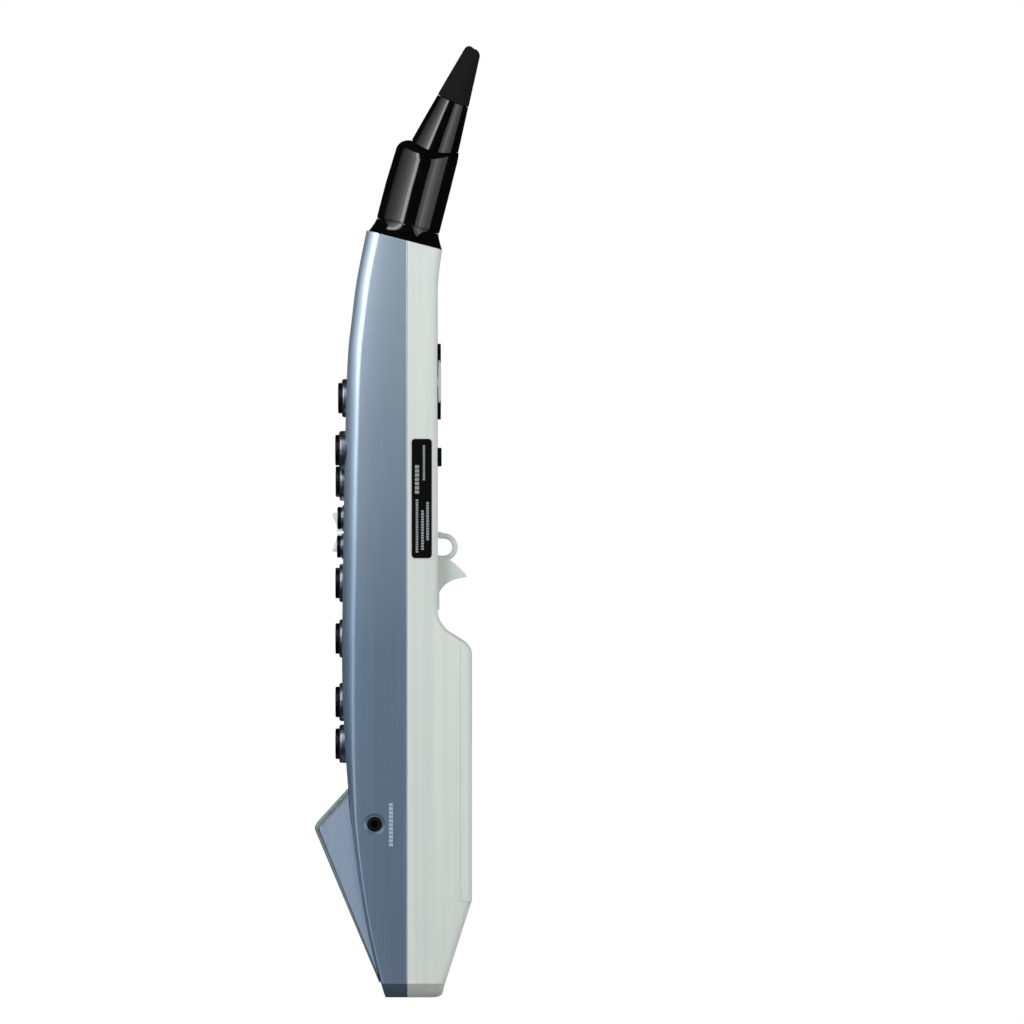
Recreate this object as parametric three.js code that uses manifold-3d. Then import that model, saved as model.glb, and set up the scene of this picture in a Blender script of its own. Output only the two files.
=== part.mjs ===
// A digital wind controller: an upright electronic reed instrument, millimetres, +Z up.
// Mouthpiece at the top, finger keys on the front (-Y), thumb controls and battery door on the rear (+Y).
// The origin is the centre of the strap ring, where the player's strap holds the instrument.
import * as THREE from 'three';
import { mergeVertices } from 'three/addons/utils/BufferGeometryUtils.js';
import Module from 'manifold-3d';

const wasm = await Module();
wasm.setup();

// Shared clearances and thicknesses
const gap = 0.3;
const wall = 2.2;
const overrun = 30;
const weldDistance = 0.001;
const labelGap = 0.05;
const turns = 16;
const fineTurns = 20;

// Body, measured from the foot of the shells and from the seam plane between them
const frontDepth = 31.9;
const doorDepth = 31.5;
const neckDepth = 14.7;
const neckFlare = 6.6;
const neckFlareHeight = 30;
const frontCornerRadius = 7;
const rearCornerRadius = 4;
const cornerLimitShare = 0.9;
const cornerSteps = 3;
const bodyRunOut = 12;
const levelSteps = 4;

// Foot: an arc across the body with a flat under it, and a slope behind it up to the battery door
const footDepth = 14;
const footFlatHalf = 5;
const footArcRadius = 29.5;
const footArcSteps = 4;
const heelReach = 3.9;
const heelHeight = 5.4;
const slopeTop = 47;

// Hump: where the slim neck steps back to the depth of the battery door, with rises from its low end
const humpRise = 21;
const humpCrestInset = 3.3;
const humpCrestRise = 6.1;
const humpFootReach = 4.8;
const humpFootRise = 11.5;
const humpSteps = 3;

// Front edge of the body as shares of bodyHeight and frontDepth, its width as shares of bodyWidth, and the
// rounding of its front corners as shares of frontCornerRadius: small behind the horn, full above it
const frontEdgeShares = [
  [0, 0.335], [0.009, 0.367], [0.052, 0.498], [0.112, 0.646], [0.184, 0.774], [0.273, 0.903], [0.362, 0.975],
  [0.44, 1], [0.571, 0.984], [0.728, 0.953], [0.832, 0.915], [0.885, 0.853], [0.937, 0.774], [0.997, 0.636],
  [1.032, 0.56],
];
const widthShares = [
  [0, 0.945], [0.06, 0.955], [0.14, 0.985], [0.3, 1], [0.42, 1], [0.53, 0.976], [0.61, 0.962], [0.71, 0.938],
  [0.79, 0.92], [0.87, 0.881], [0.92, 0.858], [1.03, 0.8],
];
const frontCornerShares = [[0, 0.19], [0.2, 0.3], [0.28, 0.6], [0.4, 0.95], [0.5, 1], [1.1, 1]];

// Neck: the mouthpiece axis leans back from the body
const neckLean = THREE.MathUtils.degToRad(14.5);
const neckSeatDepth = -1.7;
const collarHeight = 7.2;
const collarInset = 0.5;
const collarWidthShare = 0.945;
const collarFlarePower = 1.25;
const collarEdgeStep = 5;
const collarSteps = 4;
const seatPasses = 4;
const tenonRadius = 7.5;
const tenonLength = 24;
const airPipeRadius = 2.9;
const spigotRadius = 8.8;
const spigotLength = 16;

// Mouthpiece: barrel, beak and lip sleeve
const barrelRadius = 15.8;
const barrelLength = 34.9;
const barrelTaperStart = 18;
const barrelTaperShare = 0.1;
const barrelGrooveDepth = 0.8;
const barrelGrooveHeight = 0.8;
const shoulderHeight = 6;
const shoulderDrop = 3;
const barrelSocketDepth = 17;
const beakLength = 51.2;
const beakBaseHalfWidth = 11.3;
const beakBaseHalfDepth = 11.8;
const beakTipHalfWidth = 3.7;
const beakTipHalfDepth = 3.6;
const beakTipRound = 2.4;
const beakTipSlope = 0.3;
const beakBaseOffset = 3.1;
const beakTipOffset = 9.6;
const beakPlugRadius = 8;
const beakPlugLength = 6;
const sleeveStartShare = 0.46;
const sleeveThickness = 1.3;
const sleeveOverhang = 0.35;
const airSlotHalfWidth = 2.4;
const airSlotHalfDepth = 0.9;
const beakSteps = 5;
const beakTipShares = [1, 0.5, 0.17, 0];

// Finger keys
const bezelRadius = 9.4;
const bezelBoreRadius = 7.9;
const bezelEdge = 0.9;
const smallBezelRadius = 6.3;
const smallBezelBoreRadius = 5.9;
const smallBezelProud = 0.7;
const keyPlay = 0.4;
const keyProud = 1.9;
const keyDish = 0.45;
const keyEdge = 0.8;
const keyTravel = 1.2;
const flangeReach = 0.5;
const flangeThickness = 1;
const bezelClearance = 0.7;
const bezelProud = 1.5;
const firstKeySetback = 1.3;
const smallKeyProud = 2.5;
const secondKeyStep = 25.5;
const thirdKeyStep = 15.4;
const smallKeyStep = 17.9;
const smallKeyOffset = 3.5;
const sixthKeyStep = 17.9;
const seventhKeyStep = 27.2;
const eighthKeyStep = 31.1;

// Two pale paddles beside the small keys, on the far side of the front
const paddleLength = 19;
const paddleWidth = 6;
const paddleInset = 9.5;
const paddleOuterProud = 5.2;
const paddleInnerProud = 2.7;
const paddleGap = 0.9;
const paddleLipThickness = 1;

// Thumb side controls
const thumbRestRadius = 10.9;
const thumbRestOffset = 3.1;
const thumbRestProud = 1.7;
const thumbRestEdge = 0.7;
const thumbRestDish = 0.3;
const thumbRestRimShare = 0.8;
const octaveRadius = 10.8;
const octaveOffset = -1.2;
const octaveSpread = 7.8;
const octaveSplit = 0.7;
const octaveProud = 1.6;
const octaveHornReach = 9.2;
const octaveTravel = 1;
const functionRadius = 4.6;
const functionProud = 2;
const pegRadius = 1.6;
const pegLength = 3;

// Strap ring and thumb hook
const ringReach = 3.1;
const ringOuterRadius = 6.8;
const ringInnerRadius = 4.15;
const ringThickness = 4.7;
const ringOffset = 0.6;
const ringLegFlare = 0.9;
const ringPegRadius = 1.1;
const hookOffset = -1.3;
const hookWidth = 12;
const hookReach = 14.2;
const hookLength = 26.8;
const hookTipRise = 16.4;
const hookTailRise = 8.3;
const hookBrowDrop = 1.7;
const hookPlateThickness = 0.5;
const hookRib = 0.5;
const hookRibHeight = 0.25;
const hookRibPitch = 1.6;
const hookRibCount = 4;
const hookPegInset = 9.6;
const hookPegSpacing = 6.4;

// Screws, their wells in the rear shell and their posts in the front shell
const screwHeadRadius = 2.9;
const screwHeadHeight = 1.9;
const screwShankRadius = 1.4;
const screwReach = 6;
const screwSeatDepth = 4;
const wellRadius = 3.7;
const wellWall = 1.1;
const postRadius = 3.3;
const screwTurns = 8;
const screwDomeShare = 0.6;
const upperScrewInset = 11.9;
const middleScrewInset = 8.7;
const middleScrewDrop = 7.9;
const lowerScrewInset = 8.8;
const footScrewHeight = 26.3;
const footScrewInset = 10.9;
const drainInset = 11.4;
const drainBoreRadius = 1.2;

// Battery bay
const doorSeamInset = 5.6;
const doorSill = 0.2;
const cellRadius = 7.25;
const cellLength = 49.5;
const cellTipRadius = 2.75;
const cellTipLength = 1;
const cellSpacing = 0.7;
const springLength = 4.2;
const springRadius = 3.4;
const springTipShare = 0.6;
const contactThickness = 0.6;
const trayWall = 2;
const trayFloor = 2;
const trayRise = 8;
const trayClearance = 0.8;
const bayHeadroom = 1.7;
const baySideRoom = 1.75;

// Labels, left without lettering
const doorLabelWidth = 28.9;
const doorLabelLength = 41.4;
const doorLabelDrop = 2;
const labelThickness = 0.35;
const sideLabelLength = 58.2;
const sideLabelDrop = 5.3;
const sideLabelStart = 2.2;
const sideLabelWidth = 9.8;

// Sockets and switches on the two sides
const jackClearance = 5.46;
const jackSetback = 16;
const jackNozzleRadius = 3.4;
const jackBoreRadius = 1.8;
const jackRecessRadius = 5.4;
const jackRecess = 0.8;
const jackBodyLength = 11;
const jackBodyHalf = 4.6;
const usbHalfLength = 4.6;
const usbHalfWidth = 1.7;
const usbLip = 0.4;
const usbLength = 7.5;
const sideControlSetback = 19.9;
const powerRadius = 1.7;
const powerProud = 1.2;
const powerTravel = 0.7;
const slideHalf = 1.65;
const slideProud = 1.8;
const slideTravel = 4;
const sideInnerLength = 1.5;

// Speaker horn on the front of the foot
const hornFoot = 9.5;
const hornHeight = 93;
const hornApexProud = 13.8;
const hornApexDrop = 18.5;
const hornApexRound = 2.2;
const hornFootProud = 1;
const hornInset = 2.7;
const hornPanelFoot = 12.5;
const grilleTopThickness = 2.4;
const grilleThickness = 1.7;
const grilleFootThickness = 0.9;
const hornWall = 1.8;
const driverDrop = 26;
const driverRadius = 14.8;
const driverRim = 1.5;
const driverConeRadius = 12.6;
const driverMagnetRadius = 8.5;
const driverLength = 13;
const slotHeight = 1.5;
const slotPitch = 3.3;
const slotCount = 8;

// Boards
const boardThickness = 1.6;
const keyBoardInset = 7.1;
const keyBoardSetback = 10.5;
const keyBoardEnd = 11;
const switchRadius = 2.8;
const switchSides = 8;
const rearBoardSetback = 6.1;
const boardClearance = 1.7;
const rearBoardInset = 7.9;
const rearPostRadius = 1.5;
const rearPostInset = 3;
const sensorHalfWidth = 4;
const sensorInset = 7;
const sensorHeight = 10;
const sensorLength = 6;
const tubeRadius = 2.4;
const tubeBoreRadius = 1.3;
const tubePlugIn = 5;
const tubeSteps = 10;
const tubeSides = 8;
const tubeMouthShare = 0.8;

// Rises and drops from piece to piece: hook and ring stand on the hump, the controls follow the keys
const hookRise = 0.8;
const ringRise = 3.9;
const lowerScrewRise = 5;
const ninthKeyRise = 11.7;
const thumbRestRise = 8.1;
const functionDrop = 37;
const upperScrewRise = 27.9;
const drainRise = 11.8;
const neckScrewRise = 23.1;
const neckSeatRise = 18.1;
const bodyTopRise = 4.3;
const slideRise = 33.7;
const usbRise = 17.1;
const powerRise = 19.1;

// Battery bay: two pairs of cells end to end between sprung contacts, which set the width of the body
const cellTop = cellLength + cellTipLength;
const doorBottom = slopeTop + doorSill;
const trayBottom = doorBottom + wall + trayClearance;
const bayBottom = trayBottom + trayWall;
const bayLength = contactThickness * 2 + springLength * 2 + cellTop * 2 + gap * 5;
const cellDepth = doorDepth - wall - gap - cellRadius;
const bayFloor = cellDepth - cellRadius - gap;
const bayHalf = cellRadius * 2 + cellSpacing / 2 + gap;
const bodyHalf = bayHalf + trayWall + baySideRoom + wall;
const bodyWidth = bodyHalf * 2;

// Heights above the foot: the hump above the bay, with the thumb hook and the strap ring on it
const humpLow = bayBottom + bayLength + trayWall + bayHeadroom;
const humpHigh = humpLow + humpRise;
const hookLow = humpHigh + hookRise;
const hookTop = hookLow + hookLength;
const ringHeight = hookTop + ringRise;

// Heights of the keys above the speaker horn, from the steps above and from the room that bezels need
const bezelPitch = (bezelRadius + flangeReach) * 2 + bezelClearance;
const smallKeySpacing = (smallBezelRadius + flangeReach) * 2 + gap;
const pairOffset = Math.sqrt(Math.max(bezelPitch ** 2 - thirdKeyStep ** 2, 0)) / 2;
const hornTop = hornFoot + hornHeight;
const hornApexHeight = hornTop - hornApexDrop;
const keyHeights = {};
keyHeights.ninth = hornTop + ninthKeyRise + bezelRadius + flangeReach;
keyHeights.eighth = keyHeights.ninth + bezelPitch;
keyHeights.seventh = keyHeights.eighth + eighthKeyStep;
keyHeights.sixth = keyHeights.seventh + seventhKeyStep;
keyHeights.fifth = keyHeights.sixth + sixthKeyStep;
keyHeights.fourth = keyHeights.fifth + smallKeySpacing;
keyHeights.third = keyHeights.fourth + smallKeyStep;
keyHeights.second = keyHeights.third + thirdKeyStep;
keyHeights.first = keyHeights.second + secondKeyStep;

// Heights of the thumb controls opposite the upper keys, and of the neck above them
const thumbRestHeight = keyHeights.first + thumbRestRise;
const functionHeight = thumbRestHeight - functionDrop;
const lowerScrewHeight = humpHigh + lowerScrewRise;
const middleScrewHeight = keyHeights.third - middleScrewDrop;
const upperScrewHeight = thumbRestHeight + upperScrewRise;
const drainHeight = upperScrewHeight + drainRise;
const neckScrewHeight = upperScrewHeight + neckScrewRise;
const neckSeatHeight = neckScrewHeight + neckSeatRise;
const bodyHeight = neckSeatHeight + bodyTopRise;
const wellReach = wellRadius + wellWall;
const rearBoardTop = upperScrewHeight - wellReach - boardClearance;
const rearBoardBottom = middleScrewHeight + wellReach + boardClearance;
const sensorTop = rearBoardTop - sensorInset;
const sensorBottom = sensorTop - sensorHeight;

// Depths in front of the seam plane and behind it, and places measured from the sides
const bezelFaceDepth = frontDepth + bezelProud;
const paddleOuterDepth = frontDepth + paddleOuterProud;
const paddleInnerDepth = frontDepth + paddleInnerProud;
const keyBoardDepth = frontDepth - keyBoardSetback;
const jackDepth = frontDepth - jackSetback;
const sideControlDepth = frontDepth - sideControlSetback;
const hornApexDepth = frontDepth + hornApexProud;
const doorSeamDepth = doorDepth - doorSeamInset;
const ringDepth = neckDepth + ringReach;
const hookTipDepth = neckDepth + gap + hookReach;
const rearBoardDepth = neckDepth - rearBoardSetback;
const paddleOffset = paddleInset - bodyHalf;
const keyBoardHalf = bodyHalf - keyBoardInset;
const rearBoardHalf = bodyHalf - rearBoardInset;
const hornHalfWidth = bodyHalf - hornInset;
const driverFront = grilleThickness + hornWall + gap * 2;
const driverBack = driverFront + driverLength;

// Directions
const rearward = new THREE.Vector3(0, 1, 0);
const frontward = new THREE.Vector3(0, -1, 0);
const rightward = new THREE.Vector3(1, 0, 0);
const leftward = new THREE.Vector3(-1, 0, 0);
const upward = new THREE.Vector3(0, 0, 1);
const downward = new THREE.Vector3(0, 0, -1);

// Solids from closed geometries, and geometries from solids
function solidOf(geometry) {
  const bare = new THREE.BufferGeometry();
  bare.setAttribute('position', geometry.getAttribute('position'));
  bare.setIndex(geometry.getIndex());
  const merged = mergeVertices(bare, weldDistance);
  const points = merged.getAttribute('position');
  const index = merged.getIndex().array;
  const faces = [];
  const corner = [new THREE.Vector3(), new THREE.Vector3(), new THREE.Vector3()];
  let volume = 0;
  for (let i = 0; i < index.length; i += 3) {
    const face = [index[i], index[i + 1], index[i + 2]];
    if (face[0] === face[1] || face[1] === face[2] || face[0] === face[2]) continue;
    faces.push(face);
    corner.forEach((point, n) => point.fromBufferAttribute(points, face[n]));
    volume += corner[0].dot(corner[1].clone().cross(corner[2]));
  }
  const outward = volume < 0 ? faces.map((face) => face.reverse()) : faces;
  return new wasm.Manifold(new wasm.Mesh({
    numProp: 3,
    vertProperties: new Float32Array(points.array),
    triVerts: new Uint32Array(outward.flat()),
  }));
}

function geometryOf(solid) {
  const mesh = solid.getMesh();
  const geometry = new THREE.BufferGeometry();
  geometry.setAttribute('position', new THREE.BufferAttribute(new Float32Array(mesh.vertProperties), 3));
  geometry.setIndex(new THREE.BufferAttribute(new Uint32Array(mesh.triVerts), 1));
  geometry.computeVertexNormals();
  return geometry;
}

function joined(solids) {
  return solids.reduce((whole, solid) => whole.add(solid));
}

function without(solid, cutters) {
  return cutters.reduce((rest, cutter) => rest.subtract(cutter), solid);
}

// A box between two opposite corners
function block(low, high) {
  const geometry = new THREE.BoxGeometry(high[0] - low[0], high[1] - low[1], high[2] - low[2]);
  geometry.translate((low[0] + high[0]) / 2, (low[1] + high[1]) / 2, (low[2] + high[2]) / 2);
  return solidOf(geometry);
}

// A geometry made along +Z, turned to face a direction and moved to a point
function faced(geometry, at, direction) {
  const turn = new THREE.Quaternion().setFromUnitVectors(upward, direction);
  return geometry.applyQuaternion(turn).translate(at.x, at.y, at.z);
}

// A profile of [radius, height] points revolved about a direction through a point
function turned(profile, at, direction, segments = turns) {
  const outline = profile.map(([radius, height]) => new THREE.Vector2(radius, height));
  const geometry = new THREE.LatheGeometry(outline, segments).rotateX(Math.PI / 2);
  return solidOf(faced(geometry, at, direction));
}

// A round rod from a point along a direction
function rod(radius, at, direction, length, segments = turns) {
  return turned([[0, 0], [radius, 0], [radius, length], [0, length]], at, direction, segments);
}

// A side outline of [depth, height] points, extruded between two places across the body
function sidePrism(outline, left, right) {
  const shape = outline instanceof THREE.Shape
    ? outline
    : new THREE.Shape(outline.map(([depth, height]) => new THREE.Vector2(depth, height)));
  const geometry = new THREE.ExtrudeGeometry(shape, { depth: right - left, bevelEnabled: false });
  geometry.translate(0, 0, left);
  geometry.applyMatrix4(new THREE.Matrix4().makeBasis(rearward, upward, rightward));
  return solidOf(geometry);
}

// A closed skin over rings of equally many points, capped at both ends
function loft(rings) {
  const count = rings[0].length;
  const positions = rings.flat().flatMap((point) => [point.x, point.y, point.z]);
  const index = [];
  for (let r = 0; r + 1 < rings.length; r += 1) {
    for (let i = 0; i < count; i += 1) {
      const next = (i + 1) % count;
      const low = r * count;
      const high = low + count;
      index.push(low + i, low + next, high + next, low + i, high + next, high + i);
    }
  }
  const last = (rings.length - 1) * count;
  for (let i = 1; i + 1 < count; i += 1) {
    index.push(0, i + 1, i);
    index.push(last, last + i, last + i + 1);
  }
  const geometry = new THREE.BufferGeometry();
  geometry.setAttribute('position', new THREE.BufferAttribute(new Float32Array(positions), 3));
  geometry.setIndex(index);
  return solidOf(geometry);
}

function lerp(from, to, share) {
  return from + (to - from) * share;
}

// Smooth and straight reading of an edge given as [height, value] points
function valueAt(points, height) {
  const last = points.length - 1;
  const above = Math.min(Math.max(points.findIndex((point) => point[0] > height), 1), last);
  const n = points[last][0] <= height ? last : above;
  const [lowHeight, lowValue] = points[n - 1];
  const [highHeight, highValue] = points[n];
  return lowValue + (highValue - lowValue) * (height - lowHeight) / (highHeight - lowHeight);
}

function smoothEdge(shares, size) {
  const controls = shares.map(([height, value]) => new THREE.Vector2(height * bodyHeight, value * size));
  return new THREE.SplineCurve(controls).getPoints(shares.length * cornerSteps).map(({ x, y }) => [x, y]);
}

const frontEdge = smoothEdge(frontEdgeShares, frontDepth);
const widthEdge = smoothEdge(widthShares, bodyWidth / 2);
const frontCornerEdge = frontCornerShares.map(
  ([height, value]) => [height * bodyHeight, value * frontCornerRadius]);

const flareStart = bodyHeight - neckFlareHeight;

function makeRearEdge() {
  const edge = new THREE.Path();
  edge.moveTo(footDepth, 0);
  edge.quadraticCurveTo(footDepth + heelReach - gap, gap, footDepth + heelReach, heelHeight);
  edge.lineTo(doorDepth - gap, slopeTop - gap);
  edge.lineTo(doorDepth, slopeTop);
  edge.lineTo(doorDepth, humpLow);
  edge.quadraticCurveTo(
    doorDepth, humpLow + humpCrestRise / 2, doorDepth - humpCrestInset, humpLow + humpCrestRise);
  edge.lineTo(neckDepth + humpFootReach, humpLow + humpFootRise);
  edge.quadraticCurveTo(neckDepth, humpLow + (humpFootRise + humpRise) / 2, neckDepth, humpHigh);
  edge.lineTo(neckDepth, flareStart);
  edge.quadraticCurveTo(
    neckDepth, (flareStart + bodyHeight) / 2, neckDepth + neckFlare, bodyHeight + bodyRunOut);
  return edge.getPoints(humpSteps).map(({ x, y }) => [y, x]);
}

const rearEdge = makeRearEdge();

function frontAt(height) {
  return valueAt(frontEdge, height);
}

function rearAt(height) {
  return valueAt(rearEdge, height);
}

// The foot's arc is centred on the seam plane, and ends where it meets the sides
const footArcCentre = Math.sqrt(footArcRadius ** 2 - footFlatHalf ** 2);
const footArcHeight = footArcCentre - Math.sqrt(Math.max(footArcRadius ** 2 - valueAt(widthEdge, 0) ** 2, 0));

function halfWidthAt(height) {
  const full = valueAt(widthEdge, height);
  if (height >= footArcHeight) return full;
  return Math.min(full, Math.sqrt(footArcRadius ** 2 - (footArcCentre - Math.max(height, 0)) ** 2));
}

// One level outline of the body, grown outwards or, with a negative growth, shrunk inwards
function bodySection(height, growth) {
  const half = halfWidthAt(height) + growth;
  const front = frontAt(height) + growth;
  const rear = rearAt(height) + growth;
  const roundest = half * cornerLimitShare;
  const frontRadius = Math.max(Math.min(valueAt(frontCornerEdge, height) + growth, roundest), gap);
  const rearRadius = Math.min(rearCornerRadius + growth, roundest);
  const corners = [
    [half - frontRadius, -front + frontRadius, frontRadius, -Math.PI / 2],
    [half - rearRadius, rear - rearRadius, rearRadius, 0],
    [-half + rearRadius, rear - rearRadius, rearRadius, Math.PI / 2],
    [-half + frontRadius, -front + frontRadius, frontRadius, Math.PI],
  ];
  return corners.flatMap(([x, y, radius, start]) => Array.from({ length: cornerSteps + 1 }, (_, step) => {
    const angle = start + (step / cornerSteps) * (Math.PI / 2);
    return new THREE.Vector3(x + radius * Math.cos(angle), y + radius * Math.sin(angle), height);
  }));
}

function spaced(low, high, count) {
  return Array.from({ length: count }, (_, i) => low + ((high - low) * i) / count);
}

// Levels at which the body's outline is drawn
function bodyLevels() {
  const turnsOfEdge = rearEdge.map(([height]) => height).filter((height) => height > footArcHeight);
  const between = [
    ...spaced(0, footArcHeight, footArcSteps),
    ...spaced(footArcHeight, slopeTop, levelSteps / 2),
    ...spaced(slopeTop, humpLow, levelSteps),
    ...spaced(humpHigh, flareStart, levelSteps),
  ];
  const levels = [...turnsOfEdge, ...between].sort((a, b) => a - b);
  return levels.filter((height, i) => i === 0 || height - levels[i - 1] > gap);
}

function bodyLoft(growth) {
  const levels = bodyLevels().filter((height) => height > -growth + gap || growth >= 0);
  if (growth < 0) levels.unshift(-growth);
  return loft(levels.map((height) => bodySection(height, growth)));
}

// The neck frame: origin at the middle of the body's slanted top face, +Z along the mouthpiece
const neckFrame = new THREE.Matrix4()
  .makeRotationX(-neckLean)
  .setPosition(0, neckSeatDepth, neckSeatHeight);

function neckPoint(along, across = 0) {
  return new THREE.Vector3(0, across, along).applyMatrix4(neckFrame);
}

const neckAxis = new THREE.Vector3(0, Math.sin(neckLean), Math.cos(neckLean));

function aboveNeckSeat(lift) {
  const geometry = new THREE.BoxGeometry(bodyWidth * 2, bodyWidth * 2, bodyWidth * 2);
  geometry.translate(0, 0, bodyWidth + lift).applyMatrix4(neckFrame);
  return solidOf(geometry);
}

const outerBody = bodyLoft(0).subtract(aboveNeckSeat(0));
const innerBody = bodyLoft(-wall).subtract(aboveNeckSeat(-wall));
const seamReach = bodyWidth;
const bodyTopReach = bodyHeight + bodyWidth;

function bodySlab(lowDepth, highDepth, lowHeight = -overrun, highHeight = bodyTopReach) {
  return block([-seamReach, lowDepth, lowHeight], [seamReach, highDepth, highHeight]);
}

// Materials, as they look in the instrument's own colours
function finish(red, green, blue, roughness, metalness = 0) {
  const color = new THREE.Color().setRGB(red, green, blue, THREE.SRGBColorSpace);
  return new THREE.MeshStandardMaterial({ color, roughness, metalness });
}

const finishes = {
  blue: finish(0.4, 0.48, 0.56, 0.38, 0.4),
  paleBlue: finish(0.5, 0.58, 0.68, 0.38, 0.4),
  grey: finish(0.76, 0.79, 0.77, 0.55),
  paleGrey: finish(0.8, 0.83, 0.81, 0.5),
  glossBlack: finish(0.03, 0.03, 0.035, 0.08),
  mattBlack: finish(0.06, 0.06, 0.06, 0.75),
  keyBlack: finish(0.07, 0.08, 0.09, 0.35),
  bezelBlue: finish(0.16, 0.2, 0.26, 0.2, 0.3),
  frost: finish(0.85, 0.88, 0.9, 0.45),
  label: finish(0.05, 0.05, 0.06, 0.4),
  steel: finish(0.6, 0.6, 0.6, 0.35, 1),
  board: finish(0.1, 0.3, 0.18, 0.5),
  cell: finish(0.35, 0.37, 0.4, 0.35, 0.5),
  paper: finish(0.12, 0.12, 0.12, 0.9),
};

const controller = new THREE.Group();
controller.position.set(-ringOffset, -ringDepth, -ringHeight);
const windController = new THREE.Group();
windController.add(controller);

function addPiece(name, solid, material) {
  const mesh = new THREE.Mesh(geometryOf(solid), material);
  mesh.name = name;
  controller.add(mesh);
}

function largeKey(height, offset = 0, setback = 0) {
  const bezelDepth = bezelFaceDepth - setback;
  return {
    height, offset, bezelDepth,
    bezelRadius,
    boreRadius: bezelBoreRadius,
    bezelEdge,
    faceDepth: bezelDepth + keyProud,
  };
}

function smallKey(height, offset) {
  const bezelDepth = frontAt(height) + smallBezelProud;
  return {
    height, offset, bezelDepth,
    bezelRadius: smallBezelRadius,
    boreRadius: smallBezelBoreRadius,
    bezelEdge: smallBezelProud / 2,
    faceDepth: bezelDepth + smallKeyProud,
  };
}

const keys = [
  largeKey(keyHeights.first, 0, firstKeySetback),
  largeKey(keyHeights.second, pairOffset),
  largeKey(keyHeights.third, -pairOffset),
  smallKey(keyHeights.fourth, smallKeyOffset),
  smallKey(keyHeights.fifth, smallKeyOffset),
  largeKey(keyHeights.sixth),
  largeKey(keyHeights.seventh),
  largeKey(keyHeights.eighth),
  largeKey(keyHeights.ninth),
];

// Depths of a key's seat on the inside of the front wall, of its bezel's back and of its cap's back
function keyLayers(key) {
  const seatDepth = frontAt(key.height) - wall;
  const bezelBack = seatDepth - gap - flangeThickness;
  const capFlange = bezelBack - gap;
  const capBack = capFlange - flangeThickness;
  return { seatDepth, bezelBack, capFlange, capBack, pressedBack: capBack - keyTravel };
}

function frontPoint(offset, depth, height) {
  return new THREE.Vector3(offset, -depth, height);
}

function keyBezel(key) {
  const { bezelBack } = keyLayers(key);
  const top = key.bezelDepth - bezelBack;
  const flange = key.bezelRadius + flangeReach;
  return turned([
    [key.boreRadius, 0], [flange, 0], [flange, flangeThickness], [key.bezelRadius, flangeThickness],
    [key.bezelRadius, top - key.bezelEdge], [key.bezelRadius - key.bezelEdge, top],
    [key.boreRadius + key.bezelEdge / 3, top], [key.boreRadius, top - key.bezelEdge / 3],
    [key.boreRadius, 0],
  ], frontPoint(key.offset, bezelBack, key.height), frontward);
}

function keyCap(key) {
  const { capBack } = keyLayers(key);
  const top = key.faceDepth - capBack;
  const radius = key.boreRadius - keyPlay;
  const flange = key.boreRadius + flangeReach;
  return turned([
    [0, 0], [flange, 0], [flange, flangeThickness], [radius, flangeThickness], [radius, top - keyEdge],
    [radius - keyEdge / 3, top - keyEdge / 3], [radius - keyEdge, top], [radius / 2, top - keyDish * 3 / 4],
    [0, top - keyDish],
  ], frontPoint(key.offset, capBack, key.height), frontward);
}

function keySeatCut(key) {
  const { seatDepth } = keyLayers(key);
  const through = rod(
    key.bezelRadius + gap, frontPoint(key.offset, 0, key.height), frontward, frontDepth + overrun);
  const inside = bodySlab(-seatDepth - overrun * 2, -seatDepth + wall);
  const counterbore = rod(
    key.bezelRadius + flangeReach + gap, frontPoint(key.offset, seatDepth - overrun / 3, key.height),
    frontward, overrun / 3);
  return joined([through.intersect(inside), counterbore]);
}

// The paddles: a pair mirrored about the middle of the two small keys, highest at their far ends
const paddleMiddle = (keyHeights.fourth + keyHeights.fifth) / 2;

function paddleLayers() {
  const seatDepth = frontAt(paddleMiddle) - wall;
  const lipTop = seatDepth - gap;
  return { seatDepth, lipTop, back: lipTop - paddleLipThickness };
}

function paddleOutline(sign, growth = 0) {
  const near = paddleMiddle + sign * (paddleGap / 2 - growth);
  const far = paddleMiddle + sign * (paddleLength / 2 + growth);
  const { back } = paddleLayers();
  const shape = new THREE.Shape();
  shape.moveTo(-back, near);
  shape.lineTo(-back, far);
  shape.lineTo(-paddleOuterDepth + keyEdge, far);
  shape.lineTo(-paddleOuterDepth, far - sign * keyEdge);
  shape.quadraticCurveTo(-paddleInnerDepth, (near * 2 + far) / 3, -paddleInnerDepth, near);
  return new THREE.Shape(shape.getPoints(cornerSteps));
}

function paddle(sign) {
  const { lipTop, back } = paddleLayers();
  const left = paddleOffset - paddleWidth / 2;
  const right = paddleOffset + paddleWidth / 2;
  const far = paddleMiddle + sign * (paddleLength / 2 + flangeReach);
  const near = paddleMiddle + sign * (paddleGap / 2);
  const lip = block(
    [left, -lipTop, Math.min(near, far)], [right + flangeReach, -back, Math.max(near, far)]);
  return sidePrism(paddleOutline(sign), left, right).add(lip);
}

function paddleWindow() {
  const half = paddleLength / 2 + gap;
  return block(
    [paddleOffset - paddleWidth / 2 - gap, -frontDepth - overrun, paddleMiddle - half],
    [paddleOffset + paddleWidth / 2 + gap, -paddleLayers().seatDepth + gap, paddleMiddle + half]);
}

function paddleSeat() {
  const half = paddleLength / 2 + flangeReach + gap;
  return block(
    [paddleOffset - paddleWidth / 2 - gap, -paddleLayers().seatDepth, paddleMiddle - half],
    [paddleOffset + paddleWidth / 2 + flangeReach + gap, 0, paddleMiddle + half]);
}

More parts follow.
